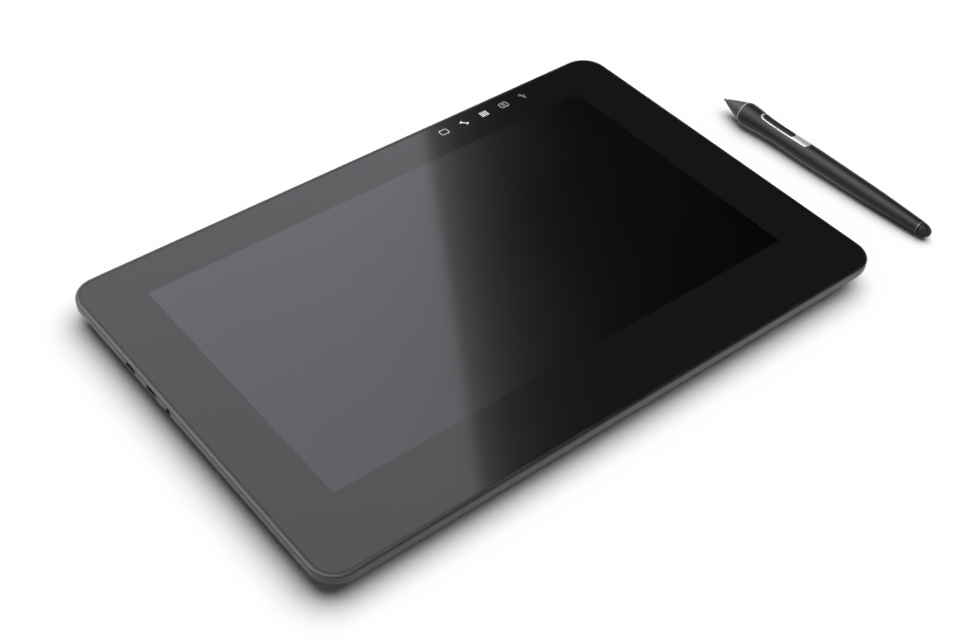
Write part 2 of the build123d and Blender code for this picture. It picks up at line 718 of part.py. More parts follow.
def screw(x, y, low, shank_l):
    """A pan screw with its head at the bottom and a cross recess in it."""
    with BuildPart() as one:
        with BuildSketch(Plane.XY.offset(low)):
            with Locations((x, y)):
                Circle(SCREW_HEAD_R)
        extrude(amount=SCREW_HEAD_H)
        with BuildSketch(Plane.XY.offset(low + SCREW_HEAD_H)):
            with Locations((x, y)):
                Circle(SCREW_SHANK_R)
        extrude(amount=shank_l)
        with BuildSketch(Plane.XY.offset(low)):
            with Locations((x, y)):
                Rectangle(SCREW_DRIVE_L, SCREW_DRIVE_W)
                Rectangle(SCREW_DRIVE_W, SCREW_DRIVE_L)
        extrude(amount=SCREW_DRIVE_DEPTH, mode=Mode.SUBTRACT)
    return one.part


cover_shank_l = CHASSIS_Z + CHASSIS_T - screw_head_z
with BuildPart() as cover_screws:
    for x, y in screw_places:
        add(screw(x, y, screw_head_z - SCREW_HEAD_H, cover_shank_l))

cover_screws.part.label = "cover_screws"
export_step(cover_screws.part, "parts/cover_screws.step")

board_shank_l = MAIN_BOARD_T + STANDOFF_H + CHASSIS_T
with BuildPart() as board_screws:
    for x, y in standoff_places:
        add(screw(x, y, BOARD_Z - SCREW_HEAD_H, board_shank_l))

board_screws.part.label = "board_screws"
export_step(board_screws.part, "parts/board_screws.step")

# Copper plate on the processor, and the flat heat pipe from it to the fins at the fan's mouth
pipe_turn_x = fan_x - FAN_SIZE / 2 - PIPE_FAN_GAP - PIPE_W / 2
with BuildPart() as heat_pipe:
    with BuildSketch(Plane.XY.offset(SPREADER_Z)):
        with Locations((board_x, board_y)):
            Rectangle(SPREADER_SIZE, SPREADER_SIZE)
    extrude(amount=SPREADER_T)
    with BuildSketch(Plane.XY.offset(PIPE_Z)):
        with BuildLine():
            FilletPolyline(
                (board_x - CHIP_SIZE / 2, board_y),
                (pipe_turn_x, board_y),
                (pipe_turn_x, fin_y),
                (fan_x + FAN_SIZE / 2, fin_y),
                radius=PIPE_BEND_R,
            )
        trace(line_width=PIPE_W)
    extrude(amount=PIPE_T)

heat_pipe.part.label = "heat_pipe"
export_step(heat_pipe.part, "parts/heat_pipe.step")

# Comb of fins that stands on the pipe in the fan's outlet
fin_count = int((FAN_SIZE - 2 * FAN_WALL) // FIN_PITCH)
fin_z = PIPE_Z + PIPE_T
with BuildPart() as heat_fins:
    with BuildSketch(Plane.XY.offset(fin_z)):
        with Locations((fan_x, fin_y)):
            Rectangle(FAN_SIZE, FIN_D)
    extrude(amount=FIN_T)
    with BuildSketch(Plane.XY.offset(fin_z)):
        with Locations((fan_x, fin_y)):
            with GridLocations(FIN_PITCH, FIN_PITCH, fin_count, 1):
                Rectangle(FIN_T, FIN_D)
    extrude(amount=FIN_H)

heat_fins.part.label = "heat_fins"
export_step(heat_fins.part, "parts/heat_fins.step")

# Fan housing: a scroll cavity open below as the intake and open at the back as the outlet
rotor_r = FAN_SIZE / 2 - ROTOR_MARGIN
rotor_room_r = rotor_r + FAN_WALL
with BuildPart() as fan_housing:
    with BuildSketch(Plane.XY.offset(fan_z)):
        with Locations((fan_x, fan_y)):
            RectangleRounded(FAN_SIZE, FAN_SIZE, FAN_CORNER_R)
    extrude(amount=FAN_H)
    with BuildSketch(Plane.XY.offset(fan_z + FAN_WALL)):
        with Locations((fan_x, fan_y)):
            Circle(rotor_room_r)
            Rectangle(2 * rotor_room_r, FAN_SIZE, align=(Align.CENTER, Align.MIN))
    extrude(amount=FAN_H - 2 * FAN_WALL, mode=Mode.SUBTRACT)
    with BuildSketch(Plane.XY.offset(fan_z)):
        with Locations((fan_x, fan_y)):
            Circle(rotor_r - FAN_WALL)
            Circle(HUB_R, mode=Mode.SUBTRACT)
            with PolarLocations(0, FAN_ARM_COUNT):
                Rectangle(rotor_room_r, FAN_WALL, align=(Align.MIN, Align.CENTER), mode=Mode.SUBTRACT)
    extrude(amount=FAN_WALL, mode=Mode.SUBTRACT)
    with BuildSketch(Plane.XY.offset(fan_z + FAN_WALL)):
        with Locations((fan_x, fan_y)):
            Circle(SPINDLE_R)
    extrude(amount=FAN_H - 2 * FAN_WALL)

fan_housing.part.label = "fan_housing"
export_step(fan_housing.part, "parts/fan_housing.step")

# Fan rotor: a cupped hub with swept blades, bored to run on the spindle
rotor_z = fan_z + FAN_WALL + END_PLAY
rotor_h = FAN_H - 2 * FAN_WALL - 2 * END_PLAY
blade_tip = (
    rotor_r * math.cos(math.radians(BLADE_SWEEP)),
    rotor_r * math.sin(math.radians(BLADE_SWEEP)),
)
with BuildSketch() as blade:
    with BuildLine():
        TangentArc((HUB_R - BLADE_T, 0), blade_tip, tangent=(1, 0))
    trace(line_width=BLADE_T)
with BuildPart() as fan_rotor:
    with BuildSketch(Plane.XY.offset(rotor_z)):
        with Locations((fan_x, fan_y)):
            Circle(HUB_R)
            with PolarLocations(0, BLADE_COUNT):
                add(blade.sketch)
    extrude(amount=rotor_h)
    with BuildSketch(Plane.XY.offset(rotor_z + rotor_h)):
        with Locations((fan_x, fan_y)):
            Circle(HUB_R - HUB_T)
            Circle(SPINDLE_R + HUB_T, mode=Mode.SUBTRACT)
    extrude(amount=-(rotor_h - HUB_T), mode=Mode.SUBTRACT)
    with BuildSketch(Plane.XY.offset(rotor_z)):
        with Locations((fan_x, fan_y)):
            Circle(SPINDLE_R + RUNNING_CLEAR)
    extrude(amount=rotor_h, mode=Mode.SUBTRACT)

fan_rotor.part.label = "fan_rotor"
export_step(fan_rotor.part, "parts/fan_rotor.step")

# Boards behind the ports, lying on the rear cover's rim
with BuildPart() as port_board_left:
    with BuildSketch(Plane.XY.offset(PORT_BOARD_Z)):
        with Locations((-board_outer_x, left_board_front)):
            Rectangle(PORT_BOARD_D, left_board_back - left_board_front, align=(Align.MIN, Align.MIN))
        with Locations((-HALF_W, jack_y)):
            Rectangle(
                JACK_DEPTH + PORT_RECESS + SEAT_CLEAR,
                JACK_BODY_W + 2 * SEAT_CLEAR,
                align=(Align.MIN, Align.CENTER),
                mode=Mode.SUBTRACT,
            )
    extrude(amount=PORT_BOARD_T)

port_board_left.part.label = "port_board_left"
export_step(port_board_left.part, "parts/port_board_left.step")

with BuildPart() as port_board_right:
    with BuildSketch(Plane.XY.offset(PORT_BOARD_Z)):
        with Locations((board_outer_x, right_board_front)):
            Rectangle(PORT_BOARD_D, right_board_back - right_board_front, align=(Align.MAX, Align.MIN))
    extrude(amount=PORT_BOARD_T)

port_board_right.part.label = "port_board_right"
export_step(port_board_right.part, "parts/port_board_right.step")

# Reversible sockets: a drawn shell, closed behind, with a contact tongue standing in it
for usb_name, place in usb_places.items():
    mouth = place.offset(-PORT_RECESS)
    with BuildPart() as usb_receptacle:
        with BuildSketch(mouth):
            SlotOverall(USB_SHELL_W, USB_SHELL_H)
        extrude(amount=-USB_DEPTH)
        with BuildSketch(mouth):
            SlotOverall(USB_SHELL_W - 2 * USB_WALL, USB_SHELL_H - 2 * USB_WALL)
        extrude(amount=-(USB_DEPTH - USB_WALL), mode=Mode.SUBTRACT)
        with BuildSketch(mouth.offset(-USB_DEPTH)):
            Rectangle(USB_TONGUE_W, USB_TONGUE_T)
        extrude(amount=USB_WALL + USB_TONGUE_L)
    usb_receptacle.part.label = usb_name
    export_step(usb_receptacle.part, f"parts/{usb_name}.step")

# Headphone jack: a block sunk in its board, with a round nose in the wall and a closed bore
jack_mouth = jack_place.offset(-PORT_RECESS)
with BuildPart() as headphone_jack:
    with BuildSketch(jack_mouth):
        Circle(JACK_NOSE_R)
    extrude(amount=-JACK_DEPTH)
    with BuildSketch(jack_mouth.offset(-jack_nose_l)):
        Rectangle(JACK_BODY_W, JACK_BODY_H)
    extrude(amount=-(JACK_DEPTH - jack_nose_l))
    with BuildSketch(jack_mouth):
        Circle(JACK_BORE_R)
    extrude(amount=-(JACK_DEPTH - JACK_END_T), mode=Mode.SUBTRACT)

headphone_jack.part.label = "headphone_jack"
export_step(headphone_jack.part, "parts/headphone_jack.step")

# Memory card reader: a flat box with a slot that takes the card's front half
card_mouth = card_place.offset(-PORT_RECESS)
with BuildPart() as card_reader:
    with BuildSketch(card_mouth):
        Rectangle(CARD_BODY_W, CARD_BODY_H)
    extrude(amount=-CARD_DEPTH)
    with BuildSketch(card_mouth):
        Rectangle(CARD_SLOT_W, CARD_SLOT_H)
    extrude(amount=-(CARD_DEPTH - CARD_END_T), mode=Mode.SUBTRACT)

card_reader.part.label = "card_reader"
export_step(card_reader.part, "parts/card_reader.step")

# Steel plate behind the wall that takes a cable lock
with BuildPart() as lock_plate:
    with BuildSketch(lock_place.offset(-FRAME_T)):
        Rectangle(LOCK_PLATE_W, LOCK_PLATE_H)
        SlotOverall(LOCK_W, LOCK_H, mode=Mode.SUBTRACT)
    extrude(amount=-LOCK_PLATE_T)

lock_plate.part.label = "lock_plate"
export_step(lock_plate.part, "parts/lock_plate.step")

# Power button: a stadium cap through the back wall, kept in by a flange behind it
flange_face = -(FRAME_T + FLANGE_CLEAR)
with BuildPart() as power_button:
    with BuildSketch(power_place.offset(flange_face - FLANGE_T)):
        Rectangle(FLANGE_W, FLANGE_H)
    extrude(amount=FLANGE_T)
    with BuildSketch(power_place.offset(flange_face)):
        SlotOverall(BUTTON_W, BUTTON_H)
    extrude(amount=BUTTON_PROUD - flange_face)
    fillet(power_button.faces().sort_by(Axis.Y)[-1].edges(), radius=BUTTON_PROUD / 2)

power_button.part.label = "power_button"
export_step(power_button.part, "parts/power_button.step")

# Touch on/off slider: a ribbed nub that stands at the left end of its slot as seen from behind
nub_shift = TOUCH_TRAVEL / 2
nub_place = back_wall(touch_x - nub_shift, PORT_Z)
with BuildPart() as touch_switch:
    with BuildSketch(nub_place.offset(flange_face - FLANGE_T)):
        Rectangle(FLANGE_W, FLANGE_H)
    extrude(amount=FLANGE_T)
    with BuildSketch(nub_place.offset(flange_face)):
        Rectangle(TOUCH_NUB_W, TOUCH_NUB_H)
    extrude(amount=BUTTON_PROUD - flange_face)
    with BuildSketch(nub_place.offset(BUTTON_PROUD)):
        with GridLocations(NUB_RIB_PITCH, NUB_RIB_PITCH, NUB_RIB_COUNT, 1):
            Rectangle(NUB_RIB_W, TOUCH_NUB_H)
    extrude(amount=-NUB_RIB_DEPTH, mode=Mode.SUBTRACT)

touch_switch.part.label = "touch_switch"
export_step(touch_switch.part, "parts/touch_switch.step")

# Small board behind the two buttons, with the two switch bodies standing on it
button_board_y = HALF_D - FRAME_T - FLANGE_CLEAR - FLANGE_T - BUTTON_TRAVEL - SEAT_CLEAR
with BuildPart() as button_board:
    with BuildSketch(Plane.XY.offset(PORT_BOARD_Z)):
        with Locations(((power_x + touch_x) / 2, button_board_y)):
            Rectangle(
                BUTTON_PITCH + 2 * BUTTON_BOARD_MARGIN,
                BUTTON_BOARD_D,
                align=(Align.CENTER, Align.MAX),
            )
    extrude(amount=PORT_BOARD_T)
    with BuildSketch(Plane.XY.offset(PORT_BOARD_TOP_Z)):
        with Locations((power_x, button_board_y), (touch_x, button_board_y)):
            Rectangle(SWITCH_BODY_W, SWITCH_BODY_D, align=(Align.CENTER, Align.MAX))
    extrude(amount=SWITCH_BODY_H)

button_board.part.label = "button_board"
export_step(button_board.part, "parts/button_board.step")

# Sensor strip of the touch keys, bonded under the glass
key_span = (KEY_COUNT - 1) * KEY_PITCH
key_y = HALF_D - KEY_FROM_BACK
touch_key_board = plate(
    key_span / 2 + KEY_BOARD_MARGIN,
    KEY_BOARD_D / 2,
    PANEL_CORNER_R,
    GLASS_Z - KEY_BOARD_T,
    GLASS_Z,
    x=HALF_W - KEY_FROM_SIDE - key_span / 2,
    y=key_y,
)
touch_key_board.label = "touch_key_board"
export_step(touch_key_board, "parts/touch_key_board.step")

# Timing board of the panel, in front of the panel frame
with BuildPart() as timing_board:
    with BuildSketch(Plane.XY.offset(SHIELD_Z)):
        with Locations((0, timing_y)):
            Rectangle(TIMING_BOARD_W, TIMING_BOARD_D)
    extrude(amount=TIMING_BOARD_T)

timing_board.part.label = "timing_board"
export_step(timing_board.part, "parts/timing_board.step")

# Flat cables: each lies on the main board, then turns up through its slot
ribbon_z = BOARD_TOP_Z + RIBBON_T / 2


def ribbon(plane, width, start, turn, top_z):
    """A flat cable drawn in an upright plane, from start to turn along it, then up to top_z."""
    with BuildPart() as cable:
        with BuildSketch(plane):
            with BuildLine():
                FilletPolyline((start, ribbon_z), (turn, ribbon_z), (turn, top_z), radius=RIBBON_BEND_R)
            trace(line_width=RIBBON_T)
            with Locations((turn, top_z)):
                Rectangle(2 * OVERRUN, OVERRUN, align=(Align.CENTER, Align.MIN), mode=Mode.SUBTRACT)
        extrude(amount=width / 2, both=True)
    return cable.part


board_plane = Plane.YZ.offset(board_x)
display_cable = ribbon(board_plane, RIBBON_W, board_front_y + RIBBON_INSET, timing_y, SHIELD_Z)
display_cable.label = "display_cable"
export_step(display_cable, "parts/display_cable.step")

digitizer_cable = ribbon(
    board_plane, RIBBON_W, board_back_y - RIBBON_INSET, digitizer_cable_y, DIGITIZER_Z
)
digitizer_cable.label = "digitizer_cable"
export_step(digitizer_cable, "parts/digitizer_cable.step")

left_side_plane = Plane(origin=(0, left_cable_y, 0), x_dir=(-1, 0, 0), z_dir=(0, 1, 0))
port_cable_left = ribbon(
    left_side_plane, PORT_RIBBON_W, -board_left_x - RIBBON_INSET, side_cable_x, PORT_BOARD_Z
)
port_cable_left.label = "port_cable_left"
export_step(port_cable_left, "parts/port_cable_left.step")

right_side_plane = Plane(origin=(0, right_cable_y, 0), x_dir=(1, 0, 0), z_dir=(0, -1, 0))
port_cable_right = ribbon(
    right_side_plane, PORT_RIBBON_W, board_right_x - RIBBON_INSET, side_cable_x, PORT_BOARD_Z
)
port_cable_right.label = "port_cable_right"
export_step(port_cable_right, "parts/port_cable_right.step")

# Rubber feet, glued in shallow seats and standing proud of the flat
for foot_name, (x, y) in foot_places.items():
    with BuildPart() as foot:
        with BuildSketch(Plane.XY):
            with Locations((x, y)):
                SlotOverall(FOOT_L - 2 * SEAT_CLEAR, FOOT_W - 2 * SEAT_CLEAR)
        extrude(amount=BELLY_Z + FOOT_RECESS)
        fillet(foot.faces().sort_by(Axis.Z)[0].edges(), radius=FOOT_EDGE_R)
    foot.part.label = foot_name
    export_step(foot.part, f"parts/{foot_name}.step")

# Legs: a hinge barrel, a ribbed flat arm, and a rubber pad let into the free end
leg_end_y = leg_hinge_y - LEG_REACH
leg_body_end_y = leg_end_y + LEG_PAD_L
pocket_l = LEG_REACH - LEG_PAD_L - LEG_PAD_TENON_L - LEG_T / 2 - 2 * LEG_POCKET_MARGIN
pocket_y = leg_hinge_y - LEG_T / 2 - LEG_POCKET_MARGIN - pocket_l / 2
pocket_w = LEG_W - 2 * LEG_POCKET_MARGIN
for side_name, side in leg_sides.items():
    with BuildPart() as leg:
        with BuildSketch(Plane.YZ.offset(side * leg_x)):
            with Locations((leg_hinge_y, leg_axis_z)):
                Circle(LEG_T / 2)
                Rectangle(leg_hinge_y - leg_body_end_y, LEG_T, align=(Align.MAX, Align.CENTER))
        extrude(amount=LEG_W / 2, both=True)
        with BuildSketch(Plane.XY.offset(BELLY_Z + LEG_T)):
            with Locations((side * leg_x, pocket_y)):
                Rectangle(pocket_w, pocket_l)
                with GridLocations(pocket_w / (LEG_RIB_COUNT + 1), LEG_W, LEG_RIB_COUNT, 1):
                    Rectangle(LEG_RIB_T, pocket_l, mode=Mode.SUBTRACT)
        extrude(amount=-LEG_POCKET_DEPTH, mode=Mode.SUBTRACT)
        with BuildSketch(Plane.YZ.offset(side * leg_x)):
            with Locations((leg_hinge_y, leg_axis_z)):
                Circle(LEG_PIN_R + LEG_PIN_CLEAR)
            with Locations((leg_body_end_y, leg_axis_z)):
                Rectangle(LEG_PAD_TENON_L, LEG_PAD_TENON_T, align=(Align.MIN, Align.CENTER))
        extrude(amount=LEG_W / 2, both=True, mode=Mode.SUBTRACT)
    leg.part.label = f"leg_{side_name}"
    export_step(leg.part, f"parts/leg_{side_name}.step")

    with BuildPart() as leg_pad:
        with BuildSketch(Plane.XY.offset(BELLY_Z)):
            with Locations((side * leg_x, leg_body_end_y)):
                Rectangle(LEG_W, LEG_PAD_L, align=(Align.CENTER, Align.MAX))
        extrude(amount=LEG_T)
        fillet(leg_pad.edges().filter_by(Axis.Z).group_by(Axis.Y)[0], radius=LEG_PAD_L - SEAT_CLEAR)
        fillet(leg_pad.faces().sort_by(Axis.Y)[0].edges().filter_by(Axis.X), radius=LEG_EDGE_R)
        with BuildSketch(Plane.YZ.offset(side * leg_x)):
            with Locations((leg_body_end_y, leg_axis_z)):
                Rectangle(LEG_PAD_TENON_L, LEG_PAD_TENON_T, align=(Align.MIN, Align.CENTER))
        extrude(amount=LEG_W / 2, both=True)
    leg_pad.part.label = f"leg_pad_{side_name}"
    export_step(leg_pad.part, f"parts/leg_pad_{side_name}.step")

    with BuildPart() as leg_pin:
        with BuildSketch(Plane.YZ.offset(side * leg_x)):
            with Locations((leg_hinge_y, leg_axis_z)):
                Circle(LEG_PIN_R)
        extrude(amount=bay_half_w + LEG_PIN_GRIP, both=True)
    leg_pin.part.label = f"leg_pin_{side_name}"
    export_step(leg_pin.part, f"parts/leg_pin_{side_name}.step")

# The pen lies on its swell and its shoulder, so its axis dips a little towards the tail
pen_dip = (SWELL_R - SHOULDER_R) / (SHOULDER_FROM_TIP - SWELL_FROM_TIP)
pen_level = math.sqrt(1 - pen_dip**2)
pen_yaw = math.radians(PEN_YAW)
pen_tip_z = (SWELL_R + SWELL_FROM_TIP * pen_dip) / pen_level
pen_tip = (PEN_TIP_X, PEN_TIP_Y, pen_tip_z)
pen_direction = (math.sin(pen_yaw) * pen_level, -math.cos(pen_yaw) * pen_level, -pen_dip)
pen_side = (-math.cos(pen_yaw), -math.sin(pen_yaw), 0)

# Profiles are drawn with X back along the axis and Y up out of it, plans are seen from above
pen_profile = Plane(origin=pen_tip, x_dir=pen_direction, z_dir=pen_side)
pen_axis = Axis(pen_tip, pen_direction)
pen_plan = Plane(origin=pen_tip, x_dir=pen_direction, z_dir=pen_profile.y_dir)
pen_section = Plane(origin=pen_tip, x_dir=pen_side, z_dir=pen_direction)

# Bores and stations inside the pen
ring_end = RING_START + RING_L
grip_bore_r = GRIP_END_R - PEN_WALL
spigot_r = grip_bore_r - SEAT_CLEAR
coil_bore_r = NIB_R + COIL_CLEAR
sensor_start = COIL_START + COIL_L
board_start = sensor_start + SENSOR_L
barrel_bore_r = math.hypot(PEN_BOARD_W / 2, PEN_BOARD_T / 2) + SEAT_CLEAR
eraser_start = TAIL_RING_FROM_TIP + TAIL_RING_L + ERASER_GAP
tail_sensor_end = eraser_start - ERASER_STEM_L - ERASER_GAP
stem_bore_r = ERASER_STEM_R + NIB_CLEAR

# Slopes that the outer lines of the grip and the barrel share where they meet and end
grip_end_slope = (SHOULDER_R - WAIST_R) / (SHOULDER_FROM_TIP - WAIST_FROM_TIP)
tail_slope = (TAIL_R - GRIP_END_R) / (TAIL_RING_FROM_TIP - GRIP_END)


def grip_line(rise):
    """The grip's outer line, raised by rise, in front of the swell and behind it. Used in a line."""
    swell = TangentArc((SWELL_FROM_TIP, SWELL_R + rise), (ring_end, RING_R + rise), tangent=(-1, 0))
    waist = Spline(
        (SWELL_FROM_TIP, SWELL_R + rise),
        (NECK_FROM_TIP, NECK_R + rise),
        (WAIST_FROM_TIP, WAIST_R + rise),
        (GRIP_END, GRIP_END_R + rise),
        tangents=((1, 0), (1, grip_end_slope)),
    )
    return swell @ 1, waist @ 1


# Nib: a plain rod with a rounded point, which slides back against the pressure sensor
nib_end = sensor_start - ERASER_GAP
with BuildPart() as pen_nib:
    with BuildSketch(pen_profile):
        with BuildLine():
            nib_nose = RadiusArc((0, 0), (NIB_R, NIB_R), NIB_R)
            Polyline(nib_nose @ 1, (nib_end, NIB_R), (nib_end, 0), (0, 0))
        make_face()
    revolve(axis=pen_axis)

pen_nib.part.label = "pen_nib"
export_step(pen_nib.part, "parts/pen_nib.step")

# Nose cone: slightly bellied, bored for the nib, with a spigot that carries the ring and the grip
nose_mid = (NOSE_START + RING_START) / 2
nose_mid_r = (NOSE_START_R + NOSE_END_R) / 2 + NOSE_BELLY
with BuildPart() as pen_nose_cone:
    with BuildSketch(pen_profile):
        with BuildLine():
            nose_line = ThreePointArc(
                (NOSE_START, NOSE_START_R), (nose_mid, nose_mid_r), (RING_START, NOSE_END_R)
            )
            Polyline(
                nose_line @ 1,
                (RING_START, spigot_r),
                (COIL_START, spigot_r),
                (COIL_START, spigot_r - PEN_WALL),
                (RING_START, spigot_r - PEN_WALL),
                (nose_mid, NIB_R + NIB_CLEAR),
                (NOSE_START, NIB_R + NIB_CLEAR),
                nose_line @ 0,
            )
        make_face()
    revolve(axis=pen_axis)

pen_nose_cone.part.label = "pen_nose_cone"
export_step(pen_nose_cone.part, "parts/pen_nose_cone.step")

# Plated ring between the nose cone and the grip
with BuildPart() as pen_ring:
    with BuildSketch(pen_profile):
        with BuildLine():
            Polyline(
                (RING_START, NOSE_END_R),
                (ring_end, RING_R),
                (ring_end, grip_bore_r),
                (RING_START, grip_bore_r),
                close=True,
            )
        make_face()
    revolve(axis=pen_axis)

pen_ring.part.label = "pen_ring"
export_step(pen_ring.part, "parts/pen_ring.step")

# Blank of the switch bezel: its plan, held between two copies of the grip's outer line
bezel_end = BEZEL_START + BEZEL_L
switch_mid = SWITCH_START + SWITCH_L / 2
switch_r = (NECK_R + WAIST_R) / 2
pin_height = switch_r + BEZEL_PROUD - BEZEL_T
with BuildPart() as bezel_shell:
    with BuildSketch(pen_profile):
        with BuildLine():
            shell_top = grip_line(BEZEL_PROUD)
            shell_low = grip_line(BEZEL_PROUD - BEZEL_T)
            Line(shell_top[0], shell_low[0])
            Line(shell_top[1], shell_low[1])
        make_face()
    revolve(axis=pen_axis)
with BuildPart() as bezel_blank:
    with BuildSketch(pen_plan):
        with BuildLine():
            front_round = ThreePointArc(
                (BEZEL_START + BEZEL_W / 2, BEZEL_W / 2),
                (BEZEL_START, 0),
                (BEZEL_START + BEZEL_W / 2, -BEZEL_W / 2),
            )
            Polyline(
                front_round @ 1,
                (bezel_end - BEZEL_TAIL_CHAMFER, -BEZEL_W / 2),
                (bezel_end, -BEZEL_W / 2 + BEZEL_TAIL_CHAMFER),
                (bezel_end, BEZEL_W / 2 - BEZEL_TAIL_CHAMFER),
                (bezel_end - BEZEL_TAIL_CHAMFER, BEZEL_W / 2),
                front_round @ 0,
            )
        make_face()
    extrude(amount=SWELL_R + OVERRUN)
    add(bezel_shell.part, mode=Mode.INTERSECT)

# Grip: the soft sleeve over the front of the pen, with the seat of the bezel in its top
with BuildPart() as pen_grip:
    with BuildSketch(pen_profile):
        with BuildLine():
            grip_top = grip_line(0)
            Polyline(grip_top[1], (GRIP_END, grip_bore_r), (ring_end, grip_bore_r), grip_top[0])
        make_face()
    revolve(axis=pen_axis)
    add(bezel_blank.part, mode=Mode.SUBTRACT)
    with BuildSketch(pen_plan):
        with Locations((switch_mid, 0)):
            SlotOverall(SWITCH_L + 2 * SWITCH_CLEAR, SWITCH_W + 2 * SWITCH_CLEAR)
    extrude(amount=SWELL_R + OVERRUN, mode=Mode.SUBTRACT)

pen_grip.part.label = "pen_grip"
export_step(pen_grip.part, "parts/pen_grip.step")

# Barrel: the hard rear half, with a spigot in the grip's bore and a stepped bore of its own
with BuildPart() as pen_barrel:
    with BuildSketch(pen_profile):
        with BuildLine():
            barrel_top = Spline(
                (GRIP_END, GRIP_END_R),
                (SHOULDER_FROM_TIP, SHOULDER_R),
                (TAIL_RING_FROM_TIP, TAIL_R),
                tangents=((1, grip_end_slope), (1, 2 * tail_slope - grip_end_slope)),
            )
            Polyline(
                barrel_top @ 1,
                (TAIL_RING_FROM_TIP, stem_bore_r),
                (tail_sensor_end, stem_bore_r),
                (tail_sensor_end, barrel_bore_r),
                (GRIP_END - spigot_r, barrel_bore_r),
                (GRIP_END - spigot_r, spigot_r),
                (GRIP_END, spigot_r),
                barrel_top @ 0,
            )
        make_face()
    revolve(axis=pen_axis)

pen_barrel.part.label = "pen_barrel"
export_step(pen_barrel.part, "parts/pen_barrel.step")

# Thin collar behind the barrel
with BuildPart() as pen_tail_ring:
    with BuildSketch(pen_profile):
        with Locations((TAIL_RING_FROM_TIP, stem_bore_r)):
            Rectangle(TAIL_RING_L, TAIL_R - stem_bore_r, align=(Align.MIN, Align.MIN))
    revolve(axis=pen_axis)

pen_tail_ring.part.label = "pen_tail_ring"
export_step(pen_tail_ring.part, "parts/pen_tail_ring.step")

# Eraser: a domed button on a stem that slides in the barrel's tail
with BuildPart() as pen_eraser:
    with BuildSketch(pen_profile):
        with BuildLine():
            dome = Spline(
                (eraser_start, ERASER_R),
                (PEN_L - ERASER_DOME_L, ERASER_DOME_R),
                (PEN_L, 0),
                tangents=((1, 0), (0, -1)),
            )
            Polyline(
                dome @ 1,
                (eraser_start - ERASER_STEM_L, 0),
                (eraser_start - ERASER_STEM_L, ERASER_STEM_R),
                (eraser_start, ERASER_STEM_R),
                dome @ 0,
            )
        make_face()
    revolve(axis=pen_axis)

pen_eraser.part.label = "pen_eraser"
export_step(pen_eraser.part, "parts/pen_eraser.step")

# Bezel of the side switch, with the rocker's window and the two pivot holes
with BuildPart() as pen_switch_bezel:
    add(bezel_blank.part)
    with BuildSketch(pen_plan):
        with Locations((switch_mid, 0)):
            SlotOverall(SWITCH_L + 2 * SWITCH_CLEAR, SWITCH_W + 2 * SWITCH_CLEAR)
    extrude(amount=SWELL_R + OVERRUN, mode=Mode.SUBTRACT)
    with BuildSketch(pen_profile):
        with Locations((switch_mid, pin_height)):
            Circle(SWITCH_PIN_R + SWITCH_PIN_CLEAR)
    extrude(amount=BEZEL_W, both=True, mode=Mode.SUBTRACT)

pen_switch_bezel.part.label = "pen_switch_bezel"
export_step(pen_switch_bezel.part, "parts/pen_switch_bezel.step")

# Side switch: one long rocker on two trunnions, with a shallow dip where the finger finds its middle
with BuildPart() as switch_shell:
    with BuildSketch(pen_profile):
        with BuildLine():
            cap_top = grip_line(SWITCH_PROUD)
            cap_low = grip_line(SWITCH_PROUD - SWITCH_T)
            Line(cap_top[0], cap_low[0])
            Line(cap_top[1], cap_low[1])
        make_face()
    revolve(axis=pen_axis)
dip_r = (SWITCH_L / 4) ** 2 / (2 * SWITCH_WAIST_DIP)
with BuildPart() as pen_switch:
    with BuildSketch(pen_plan):
        with Locations((switch_mid, 0)):
            SlotOverall(SWITCH_L, SWITCH_W)
    extrude(amount=SWELL_R + OVERRUN)
    add(switch_shell.part, mode=Mode.INTERSECT)
    with BuildSketch(pen_profile):
        with Locations((switch_mid, switch_r + SWITCH_PROUD - SWITCH_WAIST_DIP + dip_r)):
            Circle(dip_r)
    extrude(amount=SWITCH_W, both=True, mode=Mode.SUBTRACT)
    with BuildSketch(pen_profile):
        with Locations((switch_mid, pin_height)):
            Circle(SWITCH_PIN_R)
    extrude(amount=BEZEL_W / 2 - SWITCH_PIN_CLEAR, both=True)

pen_switch.part.label = "pen_switch"
export_step(pen_switch.part, "parts/pen_switch.step")

# Coil on a flanged former round the nib
with BuildPart() as pen_coil:
    with BuildSketch(pen_profile):
        with Locations((COIL_START, coil_bore_r)):
            Rectangle(COIL_L, COIL_R - coil_bore_r, align=(Align.MIN, Align.MIN))
            Rectangle(COIL_FLANGE_T, spigot_r - coil_bore_r, align=(Align.MIN, Align.MIN))
        with Locations((sensor_start, coil_bore_r)):
            Rectangle(COIL_FLANGE_T, spigot_r - coil_bore_r, align=(Align.MAX, Align.MIN))
    revolve(axis=pen_axis)

pen_coil.part.label = "pen_coil"
export_step(pen_coil.part, "parts/pen_coil.step")

# Pressure sensors behind the nib and before the eraser, and the board between them
with BuildPart() as pen_pressure_sensor:
    with BuildSketch(pen_section.offset(sensor_start)):
        Circle(spigot_r)
    extrude(amount=SENSOR_L)

pen_pressure_sensor.part.label = "pen_pressure_sensor"
export_step(pen_pressure_sensor.part, "parts/pen_pressure_sensor.step")

with BuildPart() as pen_eraser_sensor:
    with BuildSketch(pen_section.offset(tail_sensor_end)):
        Circle(barrel_bore_r - SEAT_CLEAR)
    extrude(amount=-TAIL_SENSOR_L)

pen_eraser_sensor.part.label = "pen_eraser_sensor"
export_step(pen_eraser_sensor.part, "parts/pen_eraser_sensor.step")

board_l = tail_sensor_end - TAIL_SENSOR_L - board_start
with BuildPart() as pen_board:
    with BuildSketch(pen_plan.offset(-PEN_BOARD_T / 2)):
        with Locations((board_start, 0)):
            Rectangle(board_l, PEN_BOARD_W, align=(Align.MIN, Align.CENTER))
    extrude(amount=PEN_BOARD_T)

